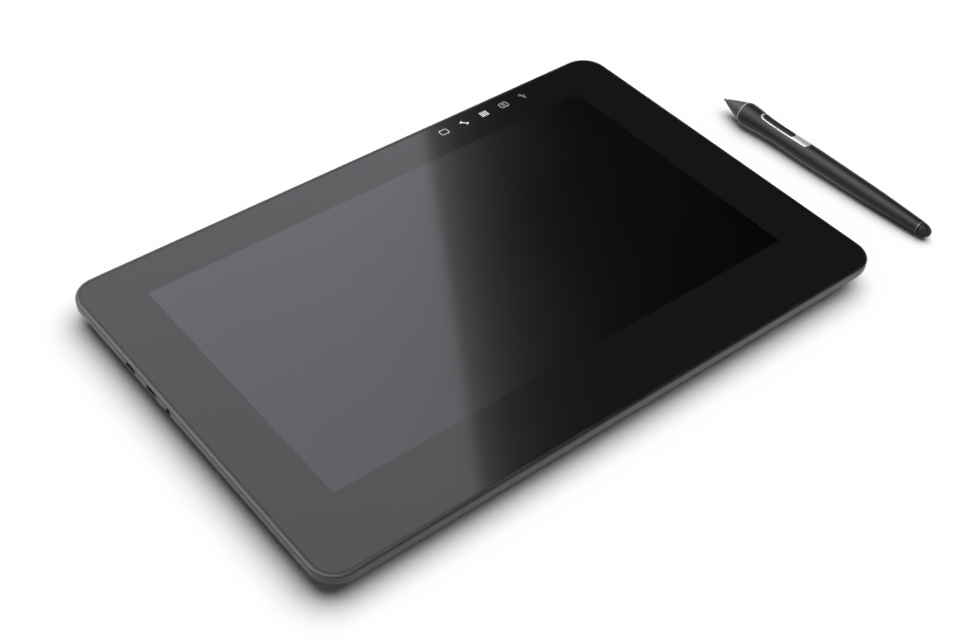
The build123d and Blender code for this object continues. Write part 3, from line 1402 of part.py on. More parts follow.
pen_board.part.label = "pen_board"
export_step(pen_board.part, "parts/pen_board.step")
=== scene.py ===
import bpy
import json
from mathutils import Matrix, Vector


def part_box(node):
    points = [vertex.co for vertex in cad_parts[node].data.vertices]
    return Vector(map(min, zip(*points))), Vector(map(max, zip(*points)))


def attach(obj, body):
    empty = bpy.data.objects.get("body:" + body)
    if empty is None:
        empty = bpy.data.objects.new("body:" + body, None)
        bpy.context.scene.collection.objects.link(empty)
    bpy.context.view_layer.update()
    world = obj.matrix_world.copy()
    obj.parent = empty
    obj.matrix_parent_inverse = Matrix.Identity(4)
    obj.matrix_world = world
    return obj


bl_info = {
    "name": "Pen display",
    "version": (1, 0, 0),
    "blender": (4, 5, 0),
    "location": "3D View > Sidebar > Pen display",
    "description": "Dresses a drawing tablet with a screen and its pen, and sets them on a white table",
    "category": "Object",
}

import json
import math

import bpy
import numpy as np
from bpy.props import FloatProperty, FloatVectorProperty, PointerProperty

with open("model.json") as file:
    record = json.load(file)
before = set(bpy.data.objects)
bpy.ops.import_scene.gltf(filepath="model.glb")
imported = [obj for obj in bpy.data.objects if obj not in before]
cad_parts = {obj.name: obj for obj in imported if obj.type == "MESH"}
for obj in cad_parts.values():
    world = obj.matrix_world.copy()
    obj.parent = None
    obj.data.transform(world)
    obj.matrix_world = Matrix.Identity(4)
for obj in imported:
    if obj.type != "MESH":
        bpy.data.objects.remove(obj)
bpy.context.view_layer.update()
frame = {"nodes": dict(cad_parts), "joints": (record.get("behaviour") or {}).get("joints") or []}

# Lengths are in metres
MM = 0.001
MICRON = 0.001 * MM

# What the frame gives: places of CAD nodes, and the hinge that the pen's side switch rocks on
GLASS_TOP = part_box("cover_glass")[1][2]
PANEL_LOW, PANEL_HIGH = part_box("lcd_panel")
KEY_BOARD_LOW, KEY_BOARD_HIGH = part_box("touch_key_board")
ROCKER_HINGE = next(joint for joint in frame["joints"] if joint["name"] == "pen_switch_rock")

# Spans of a noise's values: most of them lie in the bulk, and fewer in the core
NOISE_BULK = (0.3, 0.7)
NOISE_CORE = (0.35, 0.65)

# A wave texture of scale 1 turns through this many radians in a metre
WAVE_RADIANS = 20

WHITE = (1.0, 1.0, 1.0, 1.0)


# Settings


def colour(name, text, default):
    """A colour setting."""
    return FloatVectorProperty(
        name=name, description=text, subtype="COLOR", size=3, min=0, max=1, default=default
    )


def length(name, text, default):
    """A length setting, in metres."""
    return FloatProperty(name=name, description=text, subtype="DISTANCE", unit="LENGTH", default=default)


def fraction(name, text, default):
    """A setting from 0 to 1."""
    return FloatProperty(name=name, description=text, subtype="FACTOR", min=0, max=1, default=default)


def brightness(name, text, default, high):
    """The strength of a light or of a glowing card."""
    return FloatProperty(name=name, description=text, min=0, max=high, default=default)


def angle(name, text, default, high):
    """An angle setting, given in degrees and kept in radians, as Blender keeps angles."""
    return FloatProperty(
        name=name, description=text, subtype="ANGLE", unit="ROTATION",
        min=0, max=math.radians(high), default=math.radians(default),
    )


class GlassSettings(bpy.types.PropertyGroup):
    """Front glass, the touch keys printed on it and the layers of the screen"""

    ink: colour("Ink", "Black print behind the edge of the glass", (0.0080, 0.0088, 0.0092))
    screen: colour("Screen", "Sheen of the dark panel seen through the glass", (0.0185, 0.0186, 0.0192))
    gloss: fraction("Etching", "Roughness of the etched front face", 0.06)
    haze: fraction("Haze", "Roughness of the panel's own front film", 0.25)
    panel_edge: length("Panel edge", "Part of the panel that the print covers on each side", 4.5 * MM)
    key: colour("Keys", "Print of the touch keys", (0.62, 0.63, 0.64))
    key_side: length("Key size", "Width of one touch key's mark", 5.4 * MM)
    key_pitch: length("Key pitch", "Distance between two touch keys", 14.9 * MM)
    key_stroke: length("Key stroke", "Width of the lines in the marks", 0.55 * MM)
    foam: colour("Foam", "Foam tape under the glass", (0.020, 0.020, 0.021))
    touch_film: colour("Touch film", "Film of the touch sensor", (0.40, 0.42, 0.45))
    touch_line: colour("Touch lines", "Fine lines on the touch sensor", (0.62, 0.60, 0.56))
    touch_pitch: length("Touch pitch", "Distance between two lines of the touch sensor", 3 * MM)
    panel_dot: colour("Panel dots", "Dark dots of the panel's film", (0.010, 0.010, 0.012))
    panel_film: colour("Panel film", "Panel's film between its dots", (0.022, 0.022, 0.026))
    diffuser: colour("Diffuser", "White film of the backlight", (0.80, 0.81, 0.83))
    moulding: colour("Moulding", "Black moulded frames", (0.028, 0.028, 0.030))


class BodySettings(bpy.types.PropertyGroup):
    """Frame, cover, legs, feet, buttons and screws"""

    frame_tone: colour("Frame", "Dark anodised frame", (0.0070, 0.0071, 0.0074))
    cover_tone: colour("Cover", "Moulded rear cover and legs", (0.022, 0.0225, 0.024))
    rubber_tone: colour("Rubber", "Feet and leg pads", (0.022, 0.022, 0.023))
    button_tone: colour("Buttons", "Buttons in the back edge", (0.055, 0.056, 0.058))
    screw_tone: colour("Screws", "Turned steel of the screws and the leg pins", (0.52, 0.52, 0.53))
    grain: length("Grain", "Width of the moulded cover's fine texture", 0.5 * MM)


class InsideSettings(bpy.types.PropertyGroup):
    """Sockets, boards, cables and cooling"""

    mask: colour("Solder mask", "Green solder mask", (0.012, 0.110, 0.045))
    black_mask: colour("Black mask", "Black solder mask of the port boards", (0.012, 0.013, 0.015))
    solder: colour("Solder", "Tinned pads of the boards", (0.55, 0.54, 0.50))
    chip: colour("Chips", "Resin of the chips", (0.018, 0.018, 0.020))
    metal: colour("Steel", "Plated sheet steel", (0.58, 0.58, 0.59))
    # Sockets: the plated steel's colour times 0.06, which is painted shade for the sockets' deep insides, not
    # the steel's own tone
    socket: colour("Sockets", "Drawn steel of the sockets, darkened with painted shade", (0.0348, 0.0348, 0.0354))
    jack: colour("Jack", "Moulded body of the headphone socket", (0.018, 0.018, 0.019))
    chassis: colour("Chassis", "Cast inner chassis", (0.50, 0.51, 0.52))
    copper: colour("Copper", "Heat pipe and windings", (0.72, 0.33, 0.19))
    fins: colour("Fins", "Bare cooling fins", (0.70, 0.71, 0.72))
    fan: colour("Fan", "Moulded fan rotor", (0.035, 0.035, 0.037))
    film: colour("Film", "Amber film of the flat cables", (0.42, 0.19, 0.035))
    wire: colour("Conductors", "Conductors seen through the film", (0.50, 0.24, 0.10))
    trace_pitch: length("Trace pitch", "Distance between two traces of a board", 1.6 * MM)
    wire_pitch: length("Wire pitch", "Distance between two conductors of a flat cable", 0.6 * MM)


class PenSettings(bpy.types.PropertyGroup):
    """The pen's finishes"""

    rubber: colour("Grip", "Soft grip sleeve and eraser", (0.0065, 0.0066, 0.0071))
    barrel: colour("Barrel", "Soft-touch barrel", (0.0065, 0.0066, 0.0071))
    nose: colour("Nose", "Nose cone", (0.0160, 0.0162, 0.0169))
    silver: colour("Silver", "Plated ring and switch bezel", (0.52, 0.52, 0.54))
    collar: colour("Collar", "Dark ring in front of the eraser", (0.10, 0.10, 0.102))
    rocker: colour("Rocker", "Side switch", (0.008, 0.008, 0.009))
    nib: colour("Nib", "Nib", (0.16, 0.16, 0.165))
    sensor: colour("Sensors", "Housings of the pressure sensors", (0.05, 0.05, 0.052))
    trace_pitch: length("Trace pitch", "Distance between two traces of the pen's board", 0.8 * MM)


class StageSettings(bpy.types.PropertyGroup):
    """Table, studio light and camera"""

    sky: brightness("Sky", "Strength of the even light from all round", 0.10, 2.0)
    sun: brightness("Key light", "Strength of the wide key light", 2.95, 9.0)
    sun_size: angle("Key light size", "How wide the key light is", 71.0, 180.0)
    table: fraction("Table", "Lightness of the table", 0.4)
    card: brightness("Card", "Strength of the bright half of the reflection card", 1.92, 5.0)
    strip: brightness("Strip", "Strength of the long strip light that only gloss sees", 4.5, 20.0)
    side: brightness("Side card", "Strength of the upright card to the left that only gloss sees", 2.0, 20.0)
    pen: brightness("Pen card", "Strength of the low card beside the pen that only gloss sees", 0.87, 20.0)
    card_height: length("Card height", "Height of the reflection card over the table", 1.5175)
    lens: FloatProperty(
        name="Lens", description="Focal length in millimetres", subtype="DISTANCE_CAMERA", unit="CAMERA",
        min=1, default=58.905,
    )


# Nodes and recipes


class Wiring:
    """Adds nodes to one node tree and wires them."""

    def __init__(self, tree):
        self.tree = tree

    def node(self, kind, **inputs):
        """Adds a node. An input is named by its place, as in i0, or by its own name. It is linked if it is
        given a socket and set if it is given a value."""
        node = self.tree.nodes.new(kind)
        for key, value in inputs.items():
            self.feed(node.inputs[int(key[1:]) if key[1:].isdigit() else key.replace("_", " ")], value)
        return node

    def feed(self, socket, value):
        """Links or sets one input socket."""
        if isinstance(value, bpy.types.NodeSocket):
            self.tree.links.new(value, socket)
        else:
            socket.default_value = value

    def math(self, operation, a, b=0.0):
        """One arithmetic step."""
        node = self.node("ShaderNodeMath", i0=a, i1=b)
        node.operation = operation
        return node.outputs[0]

    def span(self, factor, low, high, first=0.0, last=1.0):
        """Carries factor from first..last to low..high, held at its ends."""
        node = self.node("ShaderNodeMapRange", i0=factor, i1=first, i2=last, i3=low, i4=high)
        return node.outputs[0]


class Recipe(Wiring):
    """One material, put together from nodes on Object coordinates in metres."""

    def __init__(self, name):
        self.material = bpy.data.materials.new(name)
        self.material.use_nodes = True
        super().__init__(self.material.node_tree)
        self.shader = self.tree.nodes["Principled BSDF"]
        self.place = self.node("ShaderNodeTexCoord").outputs["Object"]

    def noise(self, size, detail=3.0, stretch=(1, 1, 1)):
        """Cloudy noise whose lumps are about size across, and longer along an axis with a stretch under 1."""
        place = self.node("ShaderNodeMapping", Vector=self.place, Scale=stretch).outputs[0]
        return self.node("ShaderNodeTexNoise", Vector=place, Scale=1 / size, Detail=detail).outputs["Fac"]

    def cells(self, size):
        """Distance to the nearest of scattered points about size apart, in shares of size."""
        return self.node("ShaderNodeTexVoronoi", Vector=self.place, Scale=1 / size).outputs["Distance"]

    def stripes(self, pitch, axis, warp=0.0):
        """Parallel bands that repeat every pitch along an axis."""
        rate = math.tau / WAVE_RADIANS / pitch
        node = self.node("ShaderNodeTexWave", Vector=self.place, Scale=rate, Distortion=warp)
        node.bands_direction = axis
        return node.outputs["Fac"]

    def axes(self):
        """X, Y and Z as three values."""
        return self.node("ShaderNodeSeparateXYZ", Vector=self.place).outputs

    def along(self, direction):
        """How far each point lies along a level direction: X and Y times the direction's own, added up."""
        parts = [self.math("MULTIPLY", axis, share) for axis, share in zip(self.axes(), direction[:2])]
        return self.math("ADD", *parts)

    def mix(self, factor, a, b):
        """Goes from colour a to colour b."""
        node = self.tree.nodes.new("ShaderNodeMix")
        node.data_type = "RGBA"
        self.feed(node.inputs["Factor"], factor)
        for socket, value in zip([s for s in node.inputs if s.type == "RGBA"], (a, b)):
            self.feed(socket, value if isinstance(value, bpy.types.NodeSocket) else (*value, 1.0))
        return [s for s in node.outputs if s.type == "RGBA"][0]

    def vary(self, factor, tone, darker, lighter):
        """Goes from darker times a tone to lighter times the tone."""
        return self.mix(factor, shade(tone, darker), shade(tone, lighter))

    def paint(self, value):
        """Links the base colour."""
        self.feed(self.shader.inputs["Base Color"], value)

    def rough(self, value):
        """Links the roughness."""
        self.feed(self.shader.inputs["Roughness"], value)

    def metallic(self, value):
        """Links how far the surface is metal."""
        self.feed(self.shader.inputs["Metallic"], value)

    def relief(self, height, depth):
        """Raises the surface by height times depth."""
        bump = self.node("ShaderNodeBump", Height=height, Distance=depth, Strength=1.0)
        self.feed(self.shader.inputs["Normal"], bump.outputs[0])

    def fix(self, **values):
        """Sets the shader's own sockets and hands the material over."""
        for key, value in values.items():
            self.shader.inputs[key.replace("_", " ")].default_value = value
        return self.material

    def surface(self, shader):
        """Puts another shader in the place of the usual one and hands the material over."""
        self.feed(self.tree.nodes["Material Output"].inputs["Surface"], shader.outputs[0])
        return self.material


# Finishes


def shade(tone, factor):
    """A colour made lighter or darker."""
    return tuple(min(1.0, channel * factor) for channel in tone)


def moulded(name, tone, grain, roughness, depth, swing=0.12, **fixed):
    """Moulded plastic or rubber: a fine spark texture that its gloss follows, with faint clouds in its
    colour."""
    cloud_grains = 60
    gloss_swing = 0.06
    plastic = Recipe(name)
    fine = plastic.noise(grain, detail=4.0)
    cloud = plastic.span(plastic.noise(grain * cloud_grains), 0.0, 1.0, *NOISE_CORE)
    plastic.paint(plastic.vary(cloud, tone, 1 - swing, 1 + swing))
    plastic.rough(plastic.span(fine, roughness - gloss_swing, roughness + gloss_swing, *NOISE_BULK))
    plastic.relief(fine, depth)
    return plastic.fix(**fixed)


def blasted(name, tone, grain, roughness, depth, metal=1.0, **fixed):
    """Bead-blasted metal: fine pits, with faint clouds in its colour and its gloss."""
    cloud_grains = 90
    swing = 0.08
    gloss_swing = 0.04
    casting = Recipe(name)
    cloud = casting.noise(grain * cloud_grains, detail=4.0)
    casting.paint(casting.vary(casting.span(cloud, 0.0, 1.0, *NOISE_BULK), tone, 1 - swing, 1 + swing))
    casting.rough(casting.span(cloud, roughness - gloss_swing, roughness + gloss_swing, *NOISE_BULK))
    casting.relief(casting.cells(grain), depth)
    return casting.fix(Metallic=metal, **fixed)


def brushed(name, tone, grain, roughness, depth, stretch):
    """Rolled, drawn or wound metal: scratches or wires that run along the axes with a stretch under 1."""
    gloss_swing = 0.08
    sheet = Recipe(name)
    lines = sheet.noise(grain, detail=5.0, stretch=stretch)
    sheet.paint(sheet.vary(lines, tone, darker=0.86, lighter=1.1))
    sheet.rough(sheet.span(lines, roughness - gloss_swing, roughness + gloss_swing, *NOISE_BULK))
    sheet.relief(lines, depth)
    return sheet.fix(Metallic=1.0)


def circuit(name, tone, solder, pitch):
    """Circuit board: a glossy mask over fine traces, which run along X in some fields and along Y in the
    others, with tinned pads among them."""
    wobble = 1.5
    field_size = 9 * pitch
    field_edge = (0.49, 0.51)
    trace_edge = (0.62, 0.72)
    trace_lighter = 1.9
    pad_distance = 1.9 * pitch
    pad_edge = (0.13, 0.16)
    board = Recipe(name)
    field = board.span(board.noise(field_size, detail=2.0), 0.0, 1.0, *field_edge)
    rest = board.math("SUBTRACT", 1.0, field)
    first = board.math("MULTIPLY", board.stripes(pitch, "X", wobble), field)
    second = board.math("MULTIPLY", board.stripes(pitch, "Y", wobble), rest)
    traces = board.span(board.math("ADD", first, second), 0.0, 1.0, *trace_edge)
    pads = board.span(board.cells(pad_distance), 1.0, 0.0, *pad_edge)
    board.paint(board.mix(pads, board.mix(traces, tone, shade(tone, trace_lighter)), solder))
    board.rough(board.span(traces, 0.28, 0.36))
    board.relief(board.math("ADD", traces, pads), 40 * MICRON)
    return board.fix(Coat_Weight=0.3, Coat_Roughness=0.2)


def ribboned(name, tone, wire, pitch, axis):
    """Flat cable: amber film with the conductors showing through as fine lines, side by side along an
    axis."""
    wire_edge = (0.45, 0.6)
    cable = Recipe(name)
    lines = cable.span(cable.stripes(pitch, axis), 0.0, 1.0, *wire_edge)
    cable.paint(cable.mix(lines, tone, wire))
    cable.rough(cable.span(lines, 0.3, 0.4))
    cable.relief(lines, 30 * MICRON)
    return cable.fix(Coat_Weight=0.4, Coat_Roughness=0.15)


def front_glass(settings):
    """Etched glass over black print and a dark panel. Inside the panel's rectangle the film behind the glass
    has a faint sheen of its own, and the print round it has none. The rectangle is where both distances from
    the panel's middle are less than its half sides. The glass is the shader's coat, and the print under it
    has an index of 1, so it adds no gloss."""
    print_roughness = 0.62
    edge_blur = 0.05 * MM
    speck_size = 0.6 * MM
    cloud_size = 90 * MM
    gloss_swing = 0.015
    glass = Recipe("etched_glass")
    inside = []
    for i, place in enumerate(glass.axes()[:2]):
        middle = (PANEL_LOW[i] + PANEL_HIGH[i]) / 2
        half = (PANEL_HIGH[i] - PANEL_LOW[i]) / 2 - settings.panel_edge
        away = glass.math("ABSOLUTE", glass.math("SUBTRACT", place, middle))
        inside.append(glass.span(away, 1.0, 0.0, half - edge_blur, half + edge_blur))
    screen = glass.math("MULTIPLY", *inside)
    cloud = glass.noise(cloud_size)
    ink = glass.vary(glass.noise(speck_size, detail=2.0), settings.ink, darker=0.9, lighter=1.1)
    panel = glass.vary(cloud, settings.screen, darker=0.85, lighter=1.15)
    glass.paint(glass.mix(screen, ink, panel))
    glass.metallic(screen)
    base = glass.span(screen, print_roughness, settings.haze)
    glass.rough(glass.math("ADD", base, glass.span(cloud, -gloss_swing, gloss_swing, *NOISE_BULK)))
    return glass.fix(IOR=1.0, Coat_Weight=1.0, Coat_IOR=1.5, Coat_Roughness=settings.gloss)


def sensor_film(settings):
    """Clear touch film with fine lines in two directions."""
    line_edge = (0.93, 0.98)
    cloud_size = 20 * MM
    film = Recipe("sensor_film")
    lines = film.math("MAXIMUM", *[film.stripes(settings.touch_pitch, axis) for axis in "XY"])
    film.paint(film.mix(film.span(lines, 0.0, 1.0, *line_edge), settings.touch_film, settings.touch_line))
    film.rough(film.span(film.noise(cloud_size), 0.1, 0.2))
    return film.fix(Coat_Weight=0.5, Coat_Roughness=0.1)


def panel_film(settings):
    """Nearly black film of the panel, with fine darker dots."""
    dot_pitch = 0.3 * MM
    cloud_size = 40 * MM
    panel = Recipe("panel_film")
    panel.paint(panel.mix(panel.cells(dot_pitch), settings.panel_dot, settings.panel_film))
    panel.rough(panel.span(panel.noise(cloud_size), 0.25, 0.35))
    return panel.fix(Coat_Weight=0.4, Coat_Roughness=0.2)


def key_print(name, tone, gloss):
    """Light print with a faint mottle, as glossy as the glass."""
    mottle_size = 0.3 * MM
    mark = Recipe(name)
    mark.paint(mark.vary(mark.noise(mottle_size), tone, darker=0.9, lighter=1.06))
    mark.rough(mark.span(mark.noise(mottle_size), 0.4, 0.5))
    return mark.fix(Coat_Weight=1.0, Coat_Roughness=gloss)


def pinned_rocker(settings):
    """Dark side switch with plated pins. A point is on a pin where its distance from the pen's upright middle
    plane, measured along the hinge, is more than half the switch's width."""
    pin_start = 1.97 * MM
    edge_blur = 0.03 * MM
    plating = 0.45
    grain = 0.3 * MM
    rocker = Recipe("rocker_moulding")
    hinge, direction = ROCKER_HINGE["pos_m"], ROCKER_HINGE["axis"]
    middle = hinge[0] * direction[0] + hinge[1] * direction[1]
    away = rocker.math("ABSOLUTE", rocker.math("SUBTRACT", rocker.along(direction), middle))
    pins = rocker.span(away, 0.0, 1.0, pin_start, pin_start + edge_blur)
    fine = rocker.noise(grain, detail=4.0)
    switch = rocker.vary(fine, settings.rocker, darker=0.88, lighter=1.12)
    rocker.paint(rocker.mix(pins, switch, settings.silver))
    rocker.metallic(rocker.math("MULTIPLY", pins, plating))
    rocker.rough(rocker.span(fine, 0.32, 0.44, *NOISE_BULK))
    rocker.relief(fine, 20 * MICRON)
    return rocker.material


def dress(material, *names):
    """Gives these CAD nodes one material."""
    for name in names:
        mesh = frame["nodes"][name].data
        mesh.materials.clear()
        mesh.materials.append(material)


# Shapes


def ribbon(path, width, low, high, closed):
    """A flat ribbon along a path in the plane. At each of the path's points the ribbon has four corners: half
    the width to either side of the path along its normal, at the lower and the upper level. The rows of
    corners are joined round the section and along the path, and an open ribbon gets an end face at both
    ends."""
    count = len(path)
    if closed:
        along = np.roll(path, -1, 0) - np.roll(path, 1, 0)
    else:
        along = np.gradient(path, axis=0)
    along /= np.linalg.norm(along, axis=1)[:, None]
    side = np.stack([-along[:, 1], along[:, 0]], 1) * width / 2
    corners = np.zeros((count, 4, 3))
    corners[:, 0, :2] = corners[:, 1, :2] = path - side
    corners[:, 2, :2] = corners[:, 3, :2] = path + side
    corners[:, (0, 3), 2] = low
    corners[:, (1, 2), 2] = high
    rows = np.arange(count if closed else count - 1)[:, None]
    around = np.arange(4)[None, :]
    here = rows * 4
    there = (rows + 1) % count * 4
    turn = (around + 1) % 4
    faces = np.stack([here + around, here + turn, there + turn, there + around], -1).reshape(-1, 4)
    if not closed:
        first = np.array([3, 2, 1, 0])
        last = (count - 1) * 4 + first[::-1]
        faces = np.concatenate([faces, [first, last]])
    return corners.reshape(-1, 3), faces


def bar(start, end):
    """A straight path of two points."""
    return np.array([start, end], float)


def arc(centre, radius, first, last, count=24):
    """Points on a circle, at angles spread evenly from the first to the last, in degrees: the centre plus the
    radius times the angle's cosine in X and its sine in Y."""
    turns = np.radians(np.linspace(first, last, count))
    return np.stack([centre[0] + radius * np.cos(turns), centre[1] + radius * np.sin(turns)], 1)


def rounded(half_width, half_depth, radius):
    """A closed rounded rectangle: four quarter circles in turn, about the points that lie one radius in from
    both sides at each corner."""
    quarter_points = 7
    corners = ((1, 1), (-1, 1), (-1, -1), (1, -1))
    inset = np.array([half_width, half_depth]) - radius
    quarters = [
        arc(inset * corner, radius, 90 * i, 90 * i + 90, quarter_points) for i, corner in enumerate(corners)
    ]
    return np.concatenate(quarters)


def key_marks(half, line):
    """The strokes of the five marks, by name. A stroke is a path, its width and whether it is closed. The
    paths are drawn in shares of half a key's side, and the widths are shares of a line's width, or of that
    half side for the grid's cells."""
    columns, rows = (-0.75, -0.25, 0.25, 0.75), (-0.56, 0.0, 0.56)
    cell_half, cell_width = 0.145, 0.54 * half
    cells = [
        (bar((x - cell_half, y), (x + cell_half, y)), cell_width, False) for x in columns for y in rows
    ]
    lines = [(bar((-0.5, y), (0.5, y)), 0.7 * line, False) for y in (-0.36, 0.0, 0.36)]
    return {
        "key_mark_frame": [(rounded(0.96, 0.76, 0.35), line, True)],
        "key_mark_wrench": [
            (bar((-0.45, 0.46), (0.45, -0.46)), 1.5 * line, False),
            (arc((-0.6, 0.6), 0.22, -170, 70), 1.7 * line, False),
            (arc((0.6, -0.6), 0.22, 10, 250), 1.7 * line, False),
        ],
        "key_mark_grid": cells,
        "key_mark_list": [(rounded(1.0, 0.8, 0.4), line, True), *lines],
        "key_mark_touch": [
            (bar((-0.3, 0.55), (0.3, -0.8)), 1.3 * line, False),
            (arc((-0.3, 0.5), 0.42, 30, 190), 0.8 * line, False),
            (bar((0.02, -0.1), (0.7, 0.35)), 1.2 * line, False),
        ],
    }


def piece(name, parts, material, body):
    """Joins point and face arrays in one mesh object that rides on a body."""
    starts = np.cumsum([0] + [len(points) for points, _ in parts[:-1]])
    points = np.concatenate([points for points, _ in parts])
    faces = np.concatenate([faces + start for start, (_, faces) in zip(starts, parts)])
    mesh = bpy.data.meshes.new(name)
    mesh.from_pydata(points.tolist(), [], faces.tolist())
    mesh.update()
    mesh.materials.append(material)
    thing = bpy.data.objects.new(name, mesh)
    bpy.context.scene.collection.objects.link(thing)
    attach(thing, body)


# The object's operators


class TABLET_OT_glass(bpy.types.Operator):
    """Finish the front glass and the layers of the screen behind it"""

    bl_idname = "tablet.glass"
    bl_label = "Glass and screen"

    def execute(self, context):
        settings = context.scene.tablet_glass
        dress(front_glass(settings), "cover_glass")
        foam = moulded("foam_tape", settings.foam, grain=0.3 * MM, roughness=0.85, depth=80 * MICRON)
        dress(foam, "glass_gasket")
        dress(sensor_film(settings), "touch_film")
        dress(panel_film(settings), "lcd_panel")
        diffuser = moulded(
            "diffuser", settings.diffuser, grain=0.8 * MM, roughness=0.5, depth=20 * MICRON, swing=0.03
        )
        dress(diffuser, "backlight_unit")
        black = moulded("black_moulding", settings.moulding, grain=0.4 * MM, roughness=0.5, depth=30 * MICRON)
        dress(black, "panel_frame", "fan_housing")
        return {"FINISHED"}


# The print reaches this far into the glass and stands this far over it. Each further stroke of a mark stands
# one step higher, so that strokes that cross share no face.
PRINT_DEPTH = 0.02 * MM
PRINT_STEP = 0.002 * MM

# What the keys' colour is multiplied by for a mark, where that isn't 1
MARK_LIGHTNESS = {
    "key_mark_wrench": 1.45,
    "key_mark_grid": 1.5,
    "key_mark_list": 0.6,
    "key_mark_touch": 0.5,
}


class TABLET_OT_keys(bpy.types.Operator):
    """Print the five plain marks of the touch keys"""

    bl_idname = "tablet.keys"
    bl_label = "Touch keys"

    def execute(self, context):
        settings = context.scene.tablet_glass
        half = settings.key_side / 2
        marks = key_marks(half, settings.key_stroke)
        middle = [(low + high) / 2 for low, high in zip(KEY_BOARD_LOW, KEY_BOARD_HIGH)]
        first = middle[0] - (len(marks) - 1) / 2 * settings.key_pitch
        low, high = GLASS_TOP - PRINT_DEPTH, GLASS_TOP + PRINT_DEPTH
        for i, (name, strokes) in enumerate(marks.items()):
            tone = shade(settings.key, MARK_LIGHTNESS.get(name, 1.0))
            place = np.array([first + i * settings.key_pitch, middle[1]])
            parts = [
                ribbon(path * half + place, width, low, high + k * PRINT_STEP, closed)
                for k, (path, width, closed) in enumerate(strokes)
            ]
            ink = key_print(name.replace("mark", "print"), tone, settings.gloss)
            piece(name, parts, ink, "tablet")
        return {"FINISHED"}


class TABLET_OT_body(bpy.types.Operator):
    """Finish the frame, the rear cover, the legs, the feet, the buttons and the screws"""

    bl_idname = "tablet.body"
    bl_label = "Body"

    def execute(self, context):
        settings = context.scene.tablet_body
        anodised = blasted(
            "anodised_frame", settings.frame_tone, grain=0.12 * MM, roughness=0.26, depth=3 * MICRON,
            metal=0.0, IOR=1.55,
        )
        dress(anodised, "side_frame")
        cover = moulded(
            "textured_cover", settings.cover_tone, settings.grain, roughness=0.52, depth=30 * MICRON, IOR=1.35
        )
        dress(cover, "rear_cover", "leg_left", "leg_right")
        rubber = moulded(
            "soft_rubber", settings.rubber_tone, grain=0.35 * MM, roughness=0.78, depth=40 * MICRON,
            swing=0.2, Sheen_Weight=0.1,
        )
        feet = [f"foot_{end}_{side}" for end in ("front", "rear") for side in ("left", "right")]
        dress(rubber, *feet, "leg_pad_left", "leg_pad_right")
        button = moulded(
            "satin_button", settings.button_tone, grain=0.25 * MM, roughness=0.4, depth=10 * MICRON
        )
        dress(button, "power_button", "touch_switch")
        steel = blasted("turned_steel", settings.screw_tone, grain=0.15 * MM, roughness=0.3, depth=6 * MICRON)
        dress(steel, "cover_screws", "board_screws", "leg_pin_left", "leg_pin_right")
        return {"FINISHED"}


class TABLET_OT_ports(bpy.types.Operator):
    """Finish the sockets, the card reader, the lock plate and the small boards behind them"""

    bl_idname = "tablet.ports"
    bl_label = "Ports"

    def execute(self, context):
        settings = context.scene.tablet_inside
        # Painted shade: the sockets, the card reader and the lock plate get nearly black steel that stands
        # for the shade deep inside them
        shell_in_painted_shade = brushed(
            "drawn_steel_painted_shade", settings.socket, grain=0.2 * MM, roughness=0.42, depth=6 * MICRON,
            stretch=(0.08, 1, 1),
        )
        sockets = [f"usb_receptacle_{place}" for place in ("left_rear", "left_front", "right")]
        dress(shell_in_painted_shade, *sockets, "card_reader", "lock_plate")
        jack = moulded("socket_moulding", settings.jack, grain=0.3 * MM, roughness=0.45, depth=10 * MICRON)
        dress(jack, "headphone_jack")
        board = circuit("black_board", settings.black_mask, settings.solder, settings.trace_pitch)
        dress(board, "port_board_left", "port_board_right", "button_board")
        return {"FINISHED"}


class TABLET_OT_inside(bpy.types.Operator):
    """Finish the chassis, the boards, the cables and the cooling"""

    bl_idname = "tablet.inside"
    bl_label = "Inside"

    def execute(self, context):
        settings = context.scene.tablet_inside
        board = circuit("green_board", settings.mask, settings.solder, settings.trace_pitch)
        dress(board, "main_board", "timing_board", "digitizer_board")
        cable = ribboned("amber_film_x", settings.film, settings.wire, settings.wire_pitch, "X")
        dress(cable, "display_cable", "digitizer_cable", "touch_key_board")
        cable = ribboned("amber_film_y", settings.film, settings.wire, settings.wire_pitch, "Y")
        dress(cable, "port_cable_left", "port_cable_right")
        shield = brushed(
            "rolled_steel", settings.metal, grain=0.4 * MM, roughness=0.38, depth=10 * MICRON,
            stretch=(0.05, 1, 1),
        )
        dress(shield, "shield_plate")
        chassis = blasted("cast_chassis", settings.chassis, grain=0.5 * MM, roughness=0.5, depth=30 * MICRON)
        dress(chassis, "inner_chassis")
        pipe = brushed(
            "bare_copper", settings.copper, grain=0.3 * MM, roughness=0.32, depth=10 * MICRON,
            stretch=(1, 0.1, 1),
        )
        dress(pipe, "heat_pipe")
        fins = brushed(
            "bare_fins", settings.fins, grain=0.3 * MM, roughness=0.3, depth=10 * MICRON, stretch=(1, 1, 0.1)
        )
        dress(fins, "heat_fins")
        chip = moulded("chip_resin", settings.chip, grain=0.25 * MM, roughness=0.55, depth=30 * MICRON)
        dress(chip, "board_chips")
        fan = moulded("fan_moulding", settings.fan, grain=0.3 * MM, roughness=0.42, depth=10 * MICRON)
        dress(fan, "fan_rotor")
        return {"FINISHED"}


